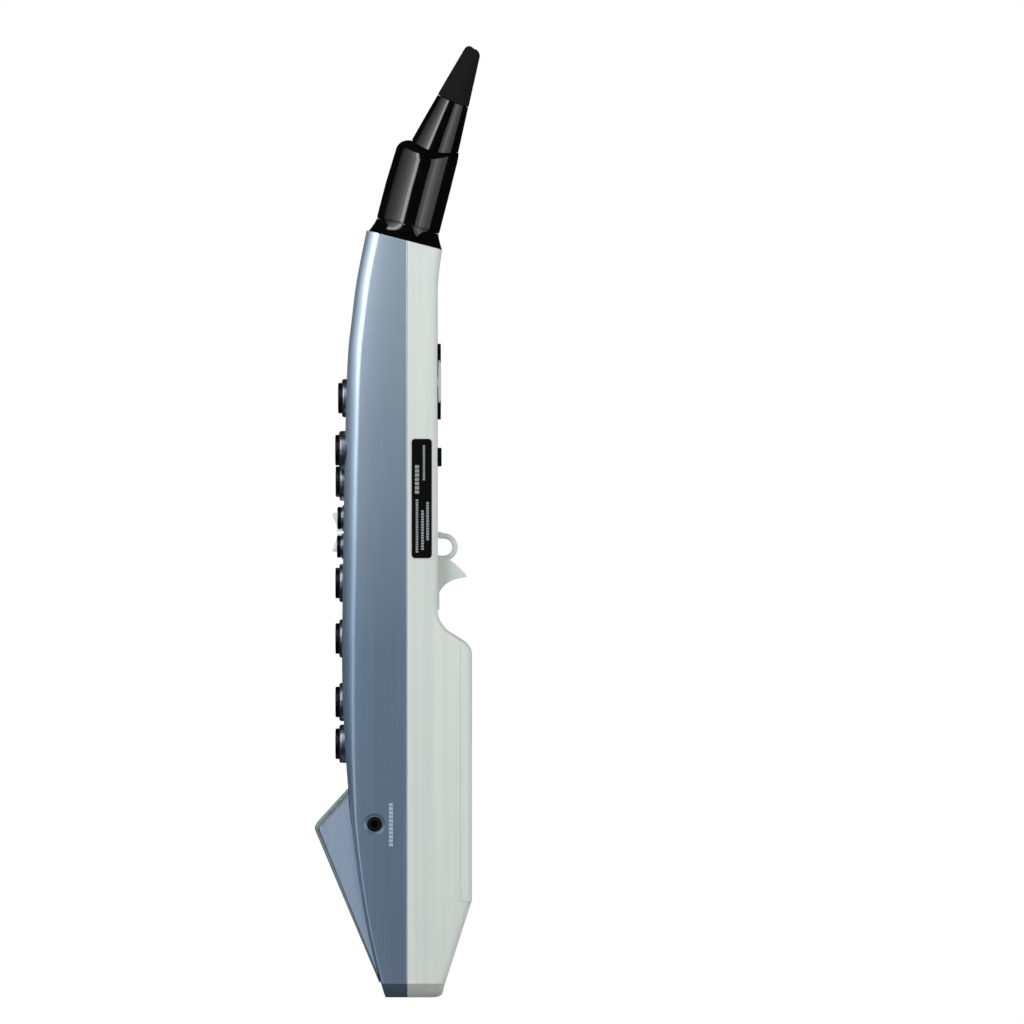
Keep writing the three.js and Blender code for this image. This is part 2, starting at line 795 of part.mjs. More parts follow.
// Screw places: across, height and the radius of the well
const screws = [
  { name: 'screw_upper_right', offset: bodyHalf - upperScrewInset, height: upperScrewHeight },
  { name: 'screw_upper_left', offset: upperScrewInset - bodyHalf, height: upperScrewHeight },
  { name: 'screw_middle', offset: middleScrewInset - bodyHalf, height: middleScrewHeight },
  { name: 'screw_lower', offset: bodyHalf - lowerScrewInset, height: lowerScrewHeight },
  { name: 'screw_foot_right', offset: bodyHalf - footScrewInset, height: footScrewHeight },
  { name: 'screw_foot_left', offset: footScrewInset - bodyHalf, height: footScrewHeight },
];

// Depth at which a height meets the neck tenon's rear face or its air pipe
function tenonRear(height, radius) {
  return neckSeatDepth - (neckSeatHeight - height) * Math.tan(neckLean) + radius / Math.cos(neckLean);
}

const tenonWall = tenonRear(neckScrewHeight, tenonRadius);
const tenonPipe = tenonRear(neckScrewHeight, airPipeRadius);
const neckBossStart = tenonRear(neckScrewHeight + wellReach, tenonRadius) + gap * 2;
const neckScrewSeat = neckBossStart + wall;

function rearPoint(offset, depth, height) {
  return new THREE.Vector3(offset, depth, height);
}

function screw(offset, height, seat, tip) {
  const head = seat + gap;
  const shank = head - tip;
  return turned([
    [0, 0], [screwShankRadius, 0], [screwShankRadius, shank], [screwHeadRadius, shank],
    [screwHeadRadius, shank + screwHeadHeight * screwDomeShare],
    [screwHeadRadius * screwDomeShare, shank + screwHeadHeight],
    [0, shank + screwHeadHeight],
  ], rearPoint(offset, tip, height), rearward, screwTurns);
}

function wellPost(offset, height, start) {
  return rod(wellReach, rearPoint(offset, start, height), rearward, doorDepth);
}

function wellBore(offset, height, seat, pilot) {
  return joined([
    rod(wellRadius, rearPoint(offset, seat, height), rearward, doorDepth + overrun),
    rod(pilot, rearPoint(offset, -overrun, height), rearward, doorDepth + overrun, screwTurns),
  ]);
}

const pilotRadius = screwShankRadius + gap;

// Front shell
function frontShell() {
  const skin = outerBody.subtract(innerBody);
  const posts = screws.map(({ offset, height }) => rod(
    postRadius, frontPoint(offset, frontDepth, height), rearward, frontDepth).intersect(outerBody));
  const half = joined([skin, ...posts]).intersect(bodySlab(-frontDepth - overrun, -gap / 2));
  const pilots = screws.map(({ offset, height }) => rod(
    pilotRadius, frontPoint(offset, screwReach + gap * 2, height), rearward, screwReach + wall, screwTurns));
  return without(half, [
    ...keys.map(keySeatCut), paddleWindow(), paddleSeat(), ...pilots, hornOpening(), ...jackOpening(),
    usbOpening(), powerOpening(), slideOpening(), neckSocket(),
  ]);
}

// Rear shell, cut away where the battery door closes it
function doorSpace(play) {
  return bodySlab(doorSeamDepth + play, doorDepth + overrun, doorBottom + play);
}

function octaveCentre(sign) {
  return { x: octaveOffset, z: thumbRestHeight + sign * octaveSpread };
}

// A crescent left of a circle by the thumb rest, on one side of the split between the two octave keys
function crescent(sign, growth, lowDepth, highDepth) {
  const centre = octaveCentre(sign);
  const height = highDepth - lowDepth;
  const moon = rod(
    octaveRadius + growth, rearPoint(centre.x, lowDepth, centre.z), rearward, height, fineTurns);
  const rest = rod(
    thumbRestRadius + octaveSplit - growth, rearPoint(thumbRestOffset, lowDepth - wall, thumbRestHeight),
    rearward, height + wall * 2, fineTurns);
  const limit = thumbRestHeight + sign * (octaveSplit - growth);
  const half = block(
    [-seamReach, lowDepth - wall, Math.min(limit, limit + sign * overrun)],
    [octaveHornReach + octaveOffset + growth, highDepth + wall, Math.max(limit, limit + sign * overrun)]);
  return moon.subtract(rest).intersect(half);
}

const rearWallInside = neckDepth - wall;
const octaveBack = rearWallInside - gap - flangeThickness;

function octaveKey(sign) {
  const face = crescent(sign, 0, octaveBack, neckDepth + octaveProud);
  const lip = crescent(sign, flangeReach, octaveBack, octaveBack + flangeThickness);
  return face.add(lip);
}

function functionButton() {
  const top = neckDepth + functionProud - octaveBack;
  const flange = functionRadius + keyPlay + flangeReach;
  return turned([
    [0, 0], [flange, 0], [flange, flangeThickness],
    [functionRadius, flangeThickness], [functionRadius, top - keyEdge], [functionRadius - keyEdge, top],
    [0, top],
  ], rearPoint(0, octaveBack, functionHeight), rearward);
}

function rearPosts() {
  const places = [rearBoardTop - rearPostInset, rearBoardBottom + rearPostInset];
  const across = rearBoardHalf - rearPostInset / 2;
  return places.flatMap((height) => [across, -across].map((offset) => rod(
    rearPostRadius, rearPoint(offset, rearBoardDepth + gap, height), rearward,
    rearWallInside + wall / 2 - rearBoardDepth - gap, screwTurns)));
}

function rearShell() {
  const skin = outerBody.subtract(innerBody);
  const posts = [
    ...screws.map(({ offset, height }) => wellPost(offset, height, gap / 2)),
    wellPost(0, neckScrewHeight, neckBossStart),
    wellPost(bodyHalf - drainInset, drainHeight, neckBossStart),
  ].map((post) => post.intersect(outerBody));
  const half = joined([skin, ...posts]).intersect(bodySlab(gap / 2, doorDepth + overrun));
  const pegs = [
    rod(pegRadius + gap, rearPoint(thumbRestOffset, 0, thumbRestHeight), rearward, doorDepth),
    ...ringPegPlaces().map((height) => rod(
      ringPegRadius + gap, rearPoint(ringOffset, 0, height), rearward, doorDepth)),
    ...hookPegPlaces().map((height) => rod(
      pegRadius + gap, rearPoint(hookOffset, 0, height), rearward, doorDepth)),
  ];
  const cut = without(half, [
    doorSpace(0),
    ...screws.map(({ offset, height }) => wellBore(offset, height, screwSeatDepth, pilotRadius)),
    wellBore(0, neckScrewHeight, neckScrewSeat, pilotRadius),
    wellBore(bodyHalf - drainInset, drainHeight, neckScrewSeat, drainBoreRadius),
    crescent(1, keyPlay, 0, doorDepth), crescent(-1, keyPlay, 0, doorDepth),
    rod(functionRadius + keyPlay, rearPoint(0, 0, functionHeight), rearward, doorDepth),
    ...pegs, neckSocket(),
  ]);
  return joined([cut, ...rearPosts()]);
}

// Neck collar: it plugs into the body with a tenon and carries the mouthpiece on a spigot
function neckSocket() {
  const geometry = new THREE.CylinderGeometry(
    tenonRadius + gap, tenonRadius + gap, tenonLength + gap * 2, fineTurns);
  geometry.rotateX(Math.PI / 2).translate(0, 0, -(tenonLength + gap * 2) / 2 + wall).applyMatrix4(neckFrame);
  return solidOf(geometry);
}

// The collar's foot on the slanted top face: drawn in at the sides and the front, flush with the rear
function collarFoot() {
  return bodySection(neckSeatHeight, -collarInset).map((first, n) => {
    let point = first;
    for (let pass = 0; pass < seatPasses; pass += 1) {
      const height = neckSeatHeight - (point.y - neckSeatDepth) * Math.tan(neckLean);
      point = bodySection(height, -collarInset)[n];
    }
    return {
      x: point.x * collarWidthShare,
      across: (point.y + collarInset - neckSeatDepth) / Math.cos(neckLean),
    };
  });
}

// The same outline with points added, so that its straight stretches bend with the rest
function finerOutline(outline, longest) {
  return outline.flatMap((point, n) => {
    const next = outline[(n + 1) % outline.length];
    const count = Math.max(Math.ceil(Math.hypot(next.x - point.x, next.across - point.across) / longest), 1);
    return Array.from({ length: count }, (_, i) => ({
      x: lerp(point.x, next.x, i / count), across: lerp(point.across, next.across, i / count),
    }));
  });
}

function collarRing(step) {
  const share = step / collarSteps;
  const flare = (1 - share) ** collarFlarePower;
  const along = lerp(gap, collarHeight, share);
  const radius = barrelRadius - barrelGrooveDepth / 4;
  return finerOutline(collarFoot(), collarEdgeStep).map(({ x, across }) => {
    const angle = Math.atan2(across, x);
    return new THREE.Vector3(
      lerp(radius * Math.cos(angle), x, flare), lerp(radius * Math.sin(angle), across, flare),
      along).applyMatrix4(neckFrame);
  });
}

function neckCollar() {
  const rings = Array.from({ length: collarSteps + 1 }, (_, step) => collarRing(step));
  const tenon = rod(tenonRadius, neckPoint(-tenonLength), neckAxis, tenonLength + gap * 2, fineTurns);
  const spigot = turned([
    [0, 0], [spigotRadius, 0], [spigotRadius, spigotLength - keyEdge], [spigotRadius - keyEdge, spigotLength],
    [0, spigotLength],
  ], neckPoint(collarHeight - gap), neckAxis, fineTurns);
  const pipe = rod(airPipeRadius, neckPoint(-overrun), neckAxis, overrun * 3, turns);
  const pilot = rod(
    pilotRadius, rearPoint(0, (tenonWall + tenonPipe) / 2 - screwShankRadius, neckScrewHeight), rearward,
    tenonRadius, screwTurns);
  return without(joined([loft(rings), tenon, spigot]), [pipe, pilot]);
}

// Mouthpiece barrel: a round sleeve over the spigot, with a shoulder that runs into the foot of the beak
const barrelStart = collarHeight + gap;
const barrelTop = barrelStart + barrelLength + shoulderHeight;

function neckRing(radiusX, radiusY, centre, lift) {
  return Array.from({ length: fineTurns }, (_, i) => {
    const angle = (i / fineTurns) * Math.PI * 2;
    const across = centre + radiusY * Math.sin(angle);
    return new THREE.Vector3(radiusX * Math.cos(angle), across, lift(angle)).applyMatrix4(neckFrame);
  });
}

// One ring of the barrel: a circle that turns by a share into the outline of the beak's foot
function barrelRing(radius, along, share, drop) {
  return neckRing(
    lerp(radius, beakBaseHalfWidth, share), lerp(radius, beakBaseHalfDepth, share), beakBaseOffset * share,
    (angle) => barrelStart + along - drop * Math.cos(angle) ** 2);
}

function barrel() {
  const grooved = barrelRadius - barrelGrooveDepth;
  const shoulder = Array.from({ length: cornerSteps + 1 }, (_, step) => {
    const angle = (step / cornerSteps) * (Math.PI / 2);
    const share = lerp(1, barrelTaperShare, Math.cos(angle));
    return barrelRing(
      barrelRadius, barrelLength + shoulderHeight * Math.sin(angle), share, shoulderDrop);
  });
  const skin = loft([
    barrelRing(grooved, 0, 0, 0), barrelRing(grooved, barrelGrooveHeight, 0, 0),
    barrelRing(barrelRadius, barrelGrooveHeight * 2, 0, 0), barrelRing(barrelRadius, barrelTaperStart, 0, 0),
    ...shoulder,
  ]);
  const socket = rod(
    spigotRadius + gap, neckPoint(barrelStart - gap), neckAxis, barrelSocketDepth + gap, fineTurns);
  const plugSeat = rod(
    beakPlugRadius + gap, neckPoint(barrelTop - beakPlugLength - gap, beakBaseOffset), neckAxis, overrun,
    fineTurns);
  return without(skin, [socket, rod(airPipeRadius, neckPoint(0), neckAxis, overrun * 2), plugSeat]);
}

// One ring of the beak at a share of its length, grown or shrunk all round
function beakRing(share, growth) {
  const left = Math.max((1 - share) * beakLength, 0);
  const rounding = left < beakTipRound
    ? beakTipRound - Math.sqrt(beakTipRound ** 2 - (beakTipRound - left) ** 2) : 0;
  const inwards = growth - rounding;
  const depth = lerp(beakBaseHalfDepth, beakTipHalfDepth, share) + inwards;
  return neckRing(
    lerp(beakBaseHalfWidth, beakTipHalfWidth, share) + inwards, depth,
    lerp(beakBaseOffset, beakTipOffset, share),
    (angle) => barrelTop + gap + share * beakLength - beakTipSlope * share * depth * Math.sin(angle)
      - shoulderDrop * (1 - share) ** 2 * Math.cos(angle) ** 2);
}

function beakLoft(start, end, growth) {
  const plain = Array.from({ length: beakSteps }, (_, i) => start + ((end - start) * i) / beakSteps);
  const roundShare = beakTipRound / beakLength;
  const tip = end < 1 ? [end] : beakTipShares.map((share) => 1 - share * roundShare);
  const shares = [...plain.filter((share) => share < tip[0]), ...tip];
  return loft(shares.map((share) => beakRing(share, growth)));
}

// The air way runs from the barrel to a slot in the tip
function airWay() {
  const start = neckPoint(barrelTop - beakPlugLength * 2);
  const end = neckPoint(barrelTop + gap + beakLength + gap, beakTipOffset);
  const direction = end.clone().sub(start);
  const geometry = new THREE.BoxGeometry(airSlotHalfWidth * 2, airSlotHalfDepth * 2, direction.length());
  geometry.translate(0, 0, direction.length() / 2);
  return solidOf(faced(geometry, start, direction.normalize()));
}

function beak() {
  const lower = beakLoft(0, sleeveStartShare, 0);
  const core = beakLoft(sleeveStartShare / 2, 1 - sleeveThickness / beakLength, -sleeveThickness - gap);
  const plug = rod(
    beakPlugRadius, neckPoint(barrelTop - beakPlugLength, beakBaseOffset), neckAxis,
    beakPlugLength + gap * 2, fineTurns);
  return joined([lower, core, plug]).subtract(airWay());
}

function lipSleeve() {
  const start = sleeveStartShare + gap / beakLength;
  const skin = beakLoft(start, 1, sleeveOverhang);
  const core = beakLoft(sleeveStartShare / 2, 1 - (sleeveThickness - gap) / beakLength, -sleeveThickness);
  return skin.subtract(core).subtract(airWay());
}

// Thumb rest: a domed disc with a peg
function thumbRest() {
  const base = neckDepth + gap;
  return turned([
    [0, -pegLength], [pegRadius, -pegLength], [pegRadius, 0], [thumbRestRadius, 0],
    [thumbRestRadius, thumbRestEdge], [thumbRestRadius * thumbRestRimShare, thumbRestProud - gap],
    [0, thumbRestProud - gap - thumbRestDish],
  ], rearPoint(thumbRestOffset, base, thumbRestHeight), rearward, fineTurns);
}

// Strap ring: a staple with two legs, and a peg through the wall at the end of each leg
function ringPegPlaces() {
  const leg = (ringOuterRadius + ringInnerRadius) / 2;
  return [ringHeight + leg, ringHeight - leg];
}

function strapRing() {
  const foot = neckDepth + gap;
  const left = ringOffset - ringThickness / 2;
  const shape = new THREE.Shape();
  shape.moveTo(foot, ringHeight + ringOuterRadius + ringLegFlare);
  shape.lineTo(ringDepth, ringHeight + ringOuterRadius);
  shape.absarc(ringDepth, ringHeight, ringOuterRadius, Math.PI / 2, -Math.PI / 2, true);
  shape.lineTo(foot, ringHeight - ringOuterRadius);
  shape.lineTo(foot, ringHeight - ringInnerRadius);
  shape.lineTo(ringDepth, ringHeight - ringInnerRadius);
  shape.absarc(ringDepth, ringHeight, ringInnerRadius, -Math.PI / 2, Math.PI / 2, false);
  shape.lineTo(foot, ringHeight + ringInnerRadius);
  const outline = new THREE.Shape(shape.getPoints(cornerSteps));
  const pegs = ringPegPlaces().map((height) => rod(
    ringPegRadius, rearPoint(ringOffset, foot - pegLength, height), rearward, pegLength + ringReach / 2));
  return joined([sidePrism(outline, left, left + ringThickness), ...pegs]);
}

function hookPegPlaces() {
  return [hookTop - hookPegInset, hookTop - hookPegInset - hookPegSpacing];
}

// Thumb hook: a curved horn over a ribbed plate, notched where the strap ring stands in it
function hookOutline() {
  const foot = neckDepth + gap;
  const reach = hookTipDepth - foot;
  const tip = hookLow + hookTipRise;
  const shape = new THREE.Shape();
  shape.moveTo(foot, hookTop);
  shape.quadraticCurveTo(foot + reach / 2, hookTop - hookBrowDrop, hookTipDepth - hookRib, tip + hookRib);
  shape.lineTo(hookTipDepth, tip);
  shape.lineTo(hookTipDepth - hookRib * 2, tip - hookRib);
  shape.quadraticCurveTo(
    foot + reach / 4, tip - hookRib * 3, foot + hookPlateThickness, hookLow + hookTailRise);
  shape.lineTo(foot, hookLow + hookTailRise);
  return new THREE.Shape(shape.getPoints(cornerSteps));
}

function ringNotch() {
  const left = ringOffset - ringThickness / 2 - gap;
  const width = ringThickness + gap * 2;
  const low = ringHeight - ringOuterRadius - gap;
  return joined([
    rod(ringOuterRadius + gap, new THREE.Vector3(left, ringDepth, ringHeight), rightward, width, fineTurns),
    block([left, 0, low], [left + width, ringDepth, ringHeight]),
  ]);
}

function thumbHook() {
  const foot = neckDepth + gap;
  const left = hookOffset - hookWidth / 2;
  const right = hookOffset + hookWidth / 2;
  const horn = sidePrism(hookOutline(), left, right);
  const plate = block([left, foot, hookLow], [right, foot + hookPlateThickness, hookTop]);
  const ribs = Array.from({ length: hookRibCount }, (_, i) => {
    const low = hookLow + hookRib + i * hookRibPitch;
    return block(
      [left + hookRib, foot, low],
      [right - hookRib, foot + hookPlateThickness + hookRibHeight, low + hookRib]);
  });
  const pegs = hookPegPlaces().map((height) => rod(
    pegRadius, rearPoint(hookOffset, foot - pegLength, height), rearward,
    pegLength + hookPlateThickness / 2));
  return joined([horn, plate, ...ribs, ...pegs]).subtract(ringNotch());
}

// Battery door: the rear of the body below the hump, with a shallow pocket for its label
function doorLabelBlock(lowDepth, highDepth, growth) {
  const half = doorLabelWidth / 2 + growth;
  const top = humpLow - doorLabelDrop;
  return block([-half, lowDepth, top - doorLabelLength - growth], [half, highDepth, top + growth]);
}

function batteryDoor() {
  const shell = outerBody.subtract(innerBody);
  const bottomWall = outerBody.intersect(
    block([-seamReach, doorSeamDepth, doorBottom], [seamReach, doorDepth + overrun, doorBottom + wall]));
  const pocket = doorLabelBlock(doorDepth - labelThickness - labelGap, doorDepth + overrun, labelGap * 2);
  return shell.add(bottomWall).intersect(doorSpace(gap)).subtract(pocket);
}

function batteryLabel() {
  return doorLabelBlock(doorDepth - labelThickness, doorDepth, 0);
}

function sideLabel() {
  const low = ringHeight - sideLabelDrop;
  const space = block(
    [0, sideLabelStart, low], [seamReach, sideLabelStart + sideLabelWidth, low + sideLabelLength]);
  return bodyLoft(labelThickness + labelGap).subtract(bodyLoft(labelGap)).intersect(space);
}

// Battery tray, cells and contacts
function batteryTray() {
  const outside = block(
    [-bayHalf - trayWall, bayFloor - trayFloor, trayBottom],
    [bayHalf + trayWall, bayFloor + trayRise, bayBottom + bayLength + trayWall]);
  const inside = block([-bayHalf, bayFloor, bayBottom], [bayHalf, bayFloor + overrun, bayBottom + bayLength]);
  return outside.subtract(inside);
}

function cellPlaces() {
  const low = bayBottom + contactThickness + springLength + gap * 2;
  const across = cellRadius + cellSpacing / 2;
  return [[across, low], [-across, low], [across, low + cellTop + gap], [-across, low + cellTop + gap]];
}

function batteryCell(offset, low) {
  return turned([
    [0, 0], [cellRadius, 0], [cellRadius, cellLength], [cellTipRadius, cellLength], [cellTipRadius, cellTop],
    [0, cellTop],
  ], rearPoint(offset, cellDepth, low), upward);
}

function contactPlate(low, direction) {
  const sign = direction.z;
  const far = low + sign * contactThickness;
  const plate = block(
    [-bayHalf + gap, bayFloor + gap, Math.min(low, far)],
    [bayHalf - gap, bayFloor + trayRise, Math.max(low, far)]);
  const across = cellRadius + cellSpacing / 2;
  const reach = springLength + contactThickness;
  const springs = [across, -across].map((offset) => turned([
    [0, 0], [springRadius, 0], [springRadius, contactThickness], [springRadius * springTipShare, reach],
    [0, reach],
  ], rearPoint(offset, cellDepth, low), direction, screwTurns));
  return joined([plate, ...springs]);
}

// Speaker horn: a wedge whose top and front are the grille
const hornTopDepth = frontAt(hornTop);
const hornFootDepth = frontAt(hornFoot) + hornFootProud;
const hornBack = hornFootDepth - wall * 3;

// Its side outline, drawn in from the top and the front by two insets and at the foot by a third
function hornOutline([topInset, frontInset, footInset]) {
  const top = new THREE.Vector2(-hornTopDepth, hornTop);
  const apex = new THREE.Vector2(-hornApexDepth, hornApexHeight);
  const foot = new THREE.Vector2(-hornFootDepth, hornFoot);
  const topRun = apex.clone().sub(top).normalize();
  const frontRun = foot.clone().sub(apex).normalize();
  const topIn = new THREE.Vector2(-topRun.y, topRun.x);
  const frontIn = new THREE.Vector2(-frontRun.y, frontRun.x);
  const across = topIn.x * frontIn.y - topIn.y * frontIn.x;
  apex.x += (topInset * frontIn.y - frontInset * topIn.y) / across;
  apex.y += (frontInset * topIn.x - topInset * frontIn.x) / across;
  top.addScaledVector(topIn, topInset);
  foot.addScaledVector(frontIn, footInset);
  const round = Math.max(hornApexRound - frontInset, gap);
  const before = apex.clone().addScaledVector(topRun, -round);
  const after = apex.clone().addScaledVector(foot.clone().sub(apex).normalize(), round);
  const shape = new THREE.Shape();
  shape.moveTo(top.x + hornWall * 3, top.y + (hornWall * 3 * topRun.y) / topRun.x);
  shape.lineTo(before.x, before.y);
  shape.quadraticCurveTo(apex.x, apex.y, after.x, after.y);
  shape.lineTo(foot.x, foot.y);
  shape.lineTo(-hornBack, hornFoot);
  return { shape: new THREE.Shape(shape.getPoints(cornerSteps)), apex, frontRun, frontIn };
}

const hornOutside = [0, 0, 0];

function insideGrille(growth) {
  return [grilleTopThickness + growth, grilleThickness + growth, grilleFootThickness + growth];
}

function hornSolid(insets, half) {
  return sidePrism(hornOutline(insets).shape, -half, half);
}

// A frame on the front face of the horn over the driver's middle: x across, y up the face, z out of it
function hornFaceFrame() {
  const { apex, frontRun, frontIn } = hornOutline(hornOutside);
  const at = apex.clone().addScaledVector(frontRun, driverDrop);
  const out = new THREE.Vector3(0, -frontIn.x, -frontIn.y);
  const up = new THREE.Vector3(0, -frontRun.x, -frontRun.y);
  return new THREE.Matrix4().makeBasis(up.clone().cross(out), up, out).setPosition(0, at.x, at.y);
}

function hornRod(radius, from, to, segments = fineTurns) {
  const geometry = new THREE.CylinderGeometry(radius, radius, to - from, segments).rotateX(Math.PI / 2);
  geometry.translate(0, 0, -(from + to) / 2).applyMatrix4(hornFaceFrame());
  return solidOf(geometry);
}

// The driver, or with some growth the room for it: a rim, a basket and a magnet
function driverSolid(growth) {
  const basket = [
    [driverRadius, 0], [driverRadius, driverRim], [driverConeRadius, driverRim],
    [driverMagnetRadius, driverLength / 2], [driverMagnetRadius, driverLength],
  ].map(([radius, back]) => [radius + growth, back]);
  const profile = [[0, 0], ...basket, [0, driverLength]]
    .map(([radius, back]) => new THREE.Vector2(radius, -back - driverFront));
  return solidOf(new THREE.LatheGeometry(profile, turns).rotateX(Math.PI / 2).applyMatrix4(hornFaceFrame()));
}

function hornOpening() {
  return driverSolid(gap * 3).add(hornRod(driverMagnetRadius + gap * 3, driverFront, driverBack + wall));
}

function speakerGrille() {
  const band = hornSolid(hornOutside, hornHalfWidth).subtract(hornSolid(insideGrille(0), bodyWidth));
  const middle = (slotCount - 1) / 2;
  const slots = Array.from({ length: slotCount }, (_, i) => {
    const up = (i - middle) * slotPitch;
    const half = Math.sqrt(driverConeRadius ** 2 - up ** 2);
    const geometry = new THREE.BoxGeometry(half * 2, slotHeight, grilleThickness * 4);
    geometry.translate(0, up, 0).applyMatrix4(hornFaceFrame());
    return solidOf(geometry);
  });
  return without(band, [bodyLoft(gap), ...slots]);
}

function speakerHousing() {
  const solid = hornSolid(insideGrille(gap), hornHalfWidth - gap);
  const hollow = hornSolid(insideGrille(gap + hornWall), hornHalfWidth - gap - hornWall);
  const above = block([-seamReach, -frontDepth * 2, hornPanelFoot], [seamReach, 0, bodyHeight]);
  const mouth = hornRod(driverConeRadius + gap, -overrun / 3, driverFront);
  return without(solid.intersect(above), [hollow, mouth, bodyLoft(gap)]);
}

// The cone is a dish in the driver's front, with a flat middle
function speakerDriver() {
  const deep = driverRim * 2;
  const dish = new THREE.LatheGeometry([
    [0, -deep], [driverMagnetRadius / 2, -deep], [driverConeRadius, -driverRim / 3], [driverConeRadius, gap],
    [0, gap],
  ].map(([radius, out]) => new THREE.Vector2(radius, out - driverFront)), turns);
  return driverSolid(0).subtract(solidOf(dish.rotateX(Math.PI / 2).applyMatrix4(hornFaceFrame())));
}

// Headphone jack in a shallow round recess, above the end of the driver's magnet
const magnetEnd = new THREE.Vector3(0, 0, -driverBack).applyMatrix4(hornFaceFrame());
const jackHeight = magnetEnd.z + driverMagnetRadius + jackClearance + jackBodyHalf;
const jackWall = halfWidthAt(jackHeight);

function jackOpening() {
  const centre = new THREE.Vector3(0, -jackDepth, jackHeight);
  return [
    rod(jackNozzleRadius + gap, centre, rightward, bodyWidth),
    rod(jackRecessRadius, centre.clone().setX(jackWall - jackRecess), rightward, overrun, fineTurns),
  ];
}

function headphoneJack() {
  const back = jackWall - wall - gap * 2;
  const body = block(
    [back - jackBodyLength, -jackDepth - jackBodyHalf, jackHeight - jackBodyHalf],
    [back, -jackDepth + jackBodyHalf, jackHeight + jackBodyHalf]);
  const nozzle = rod(
    jackNozzleRadius, new THREE.Vector3(back - gap, -jackDepth, jackHeight), rightward,
    wall + gap * 3 - jackRecess / 2, turns);
  const bore = rod(
    jackBoreRadius, new THREE.Vector3(back - jackBodyLength + wall, -jackDepth, jackHeight), rightward,
    overrun);
  return body.add(nozzle).subtract(bore);
}

// Socket and switches on the left side
const slideHeight = jackHeight + slideRise;
const usbHeight = slideHeight + usbRise;
const powerHeight = usbHeight + powerRise;
const slideWall = halfWidthAt(slideHeight);
const usbWall = halfWidthAt(usbHeight);
const powerWall = halfWidthAt(powerHeight);

function leftBlock(inner, outer, depthHalf, low, high) {
  return block([-outer, -sideControlDepth - depthHalf, low], [-inner, -sideControlDepth + depthHalf, high]);
}

function usbOpening() {
  const half = usbHalfLength + gap;
  return leftBlock(0, bodyWidth, usbHalfWidth + gap, usbHeight - half, usbHeight + half);
}

function usbSocket() {
  const face = usbWall - gap;
  const shell = leftBlock(
    face - usbLength, face, usbHalfWidth, usbHeight - usbHalfLength, usbHeight + usbHalfLength);
  const slot = leftBlock(
    face - usbLength + usbLip * 2, face + gap, usbHalfWidth - usbLip,
    usbHeight - usbHalfLength + usbLip, usbHeight + usbHalfLength - usbLip);
  const tongue = leftBlock(
    face - usbLength, face - usbLip * 2, usbLip, usbHeight - usbHalfLength + usbLip * 3,
    usbHeight + usbHalfLength - usbLip * 3);
  return shell.subtract(slot).add(tongue);
}

function powerOpening() {
  return rod(powerRadius + gap, new THREE.Vector3(0, -sideControlDepth, powerHeight), leftward, bodyWidth);
}

function powerButton() {
  const inner = powerWall - wall - gap - sideInnerLength;
  const length = powerWall + powerProud - inner;
  const flange = powerRadius + gap * 3;
  return turned([
    [0, 0], [flange, 0], [flange, sideInnerLength], [powerRadius, sideInnerLength],
    [powerRadius, length - gap], [powerRadius - gap, length], [0, length],
  ], new THREE.Vector3(-inner, -sideControlDepth, powerHeight), leftward);
}

function slideOpening() {
  const half = slideHalf + gap;
  return leftBlock(0, bodyWidth, half, slideHeight - half - slideTravel, slideHeight + half);
}

function slideSwitch() {
  const inner = slideWall - wall - gap * 2;
  const knob = leftBlock(
    inner - sideInnerLength, slideWall + slideProud, slideHalf, slideHeight - slideHalf,
    slideHeight + slideHalf);
  const plate = leftBlock(
    inner - sideInnerLength, inner, slideHalf * 2, slideHeight - slideHalf * 2, slideHeight + slideHalf * 2);
  return knob.add(plate);
}

// Key board, with a switch under each key and notches round the shell's posts
function keyBoard() {
  const low = keyHeights.ninth - keyBoardEnd;
  const high = keyHeights.first + keyBoardEnd;
  const plate = block(
    [-keyBoardHalf, -keyBoardDepth, low], [keyBoardHalf, -keyBoardDepth + boardThickness, high]);
  const switches = keys.map((key) => rod(
    switchRadius, frontPoint(key.offset, keyBoardDepth - boardThickness / 2, key.height), frontward,
    keyLayers(key).pressedBack - gap - keyBoardDepth + boardThickness / 2, switchSides));
  const paddleSwitches = [1, -1].map((sign) => {
    const middle = paddleMiddle + (sign * paddleLength) / 4;
    const foot = frontPoint(paddleOffset + switchRadius / 2, keyBoardDepth - boardThickness / 2, middle);
    const reach = paddleLayers().back - keyTravel - gap - keyBoardDepth + boardThickness / 2;
    return rod(switchRadius / 2, foot, frontward, reach, switchSides);
  });
  const notches = screws.map(({ offset, height }) => rod(
    postRadius + gap, frontPoint(offset, frontDepth, height), rearward, frontDepth));
  return without(joined([plate, ...switches, ...paddleSwitches]), notches);
}

function rearBoard() {
  const plate = block(
    [-rearBoardHalf, rearBoardDepth - boardThickness, rearBoardBottom],
    [rearBoardHalf, rearBoardDepth, rearBoardTop]);
  const places = [
    [octaveOffset, thumbRestHeight + octaveSpread + octaveRadius / 2],
    [octaveOffset, thumbRestHeight - octaveSpread - octaveRadius / 2],
    [0, functionHeight],
  ];
  const switches = places.map(([offset, height]) => rod(
    switchRadius, rearPoint(offset, rearBoardDepth - boardThickness / 2, height), rearward,
    octaveBack - octaveTravel - gap - rearBoardDepth + boardThickness / 2, switchSides));
  return joined([plate, ...switches]);
}

// Breath sensor on the rear board and the soft tube that brings the breath to it
const sensorRear = rearBoardDepth - boardThickness - gap;

function breathSensor() {
  return block(
    [-sensorHalfWidth, sensorRear - sensorLength, sensorBottom], [sensorHalfWidth, sensorRear, sensorTop]);
}

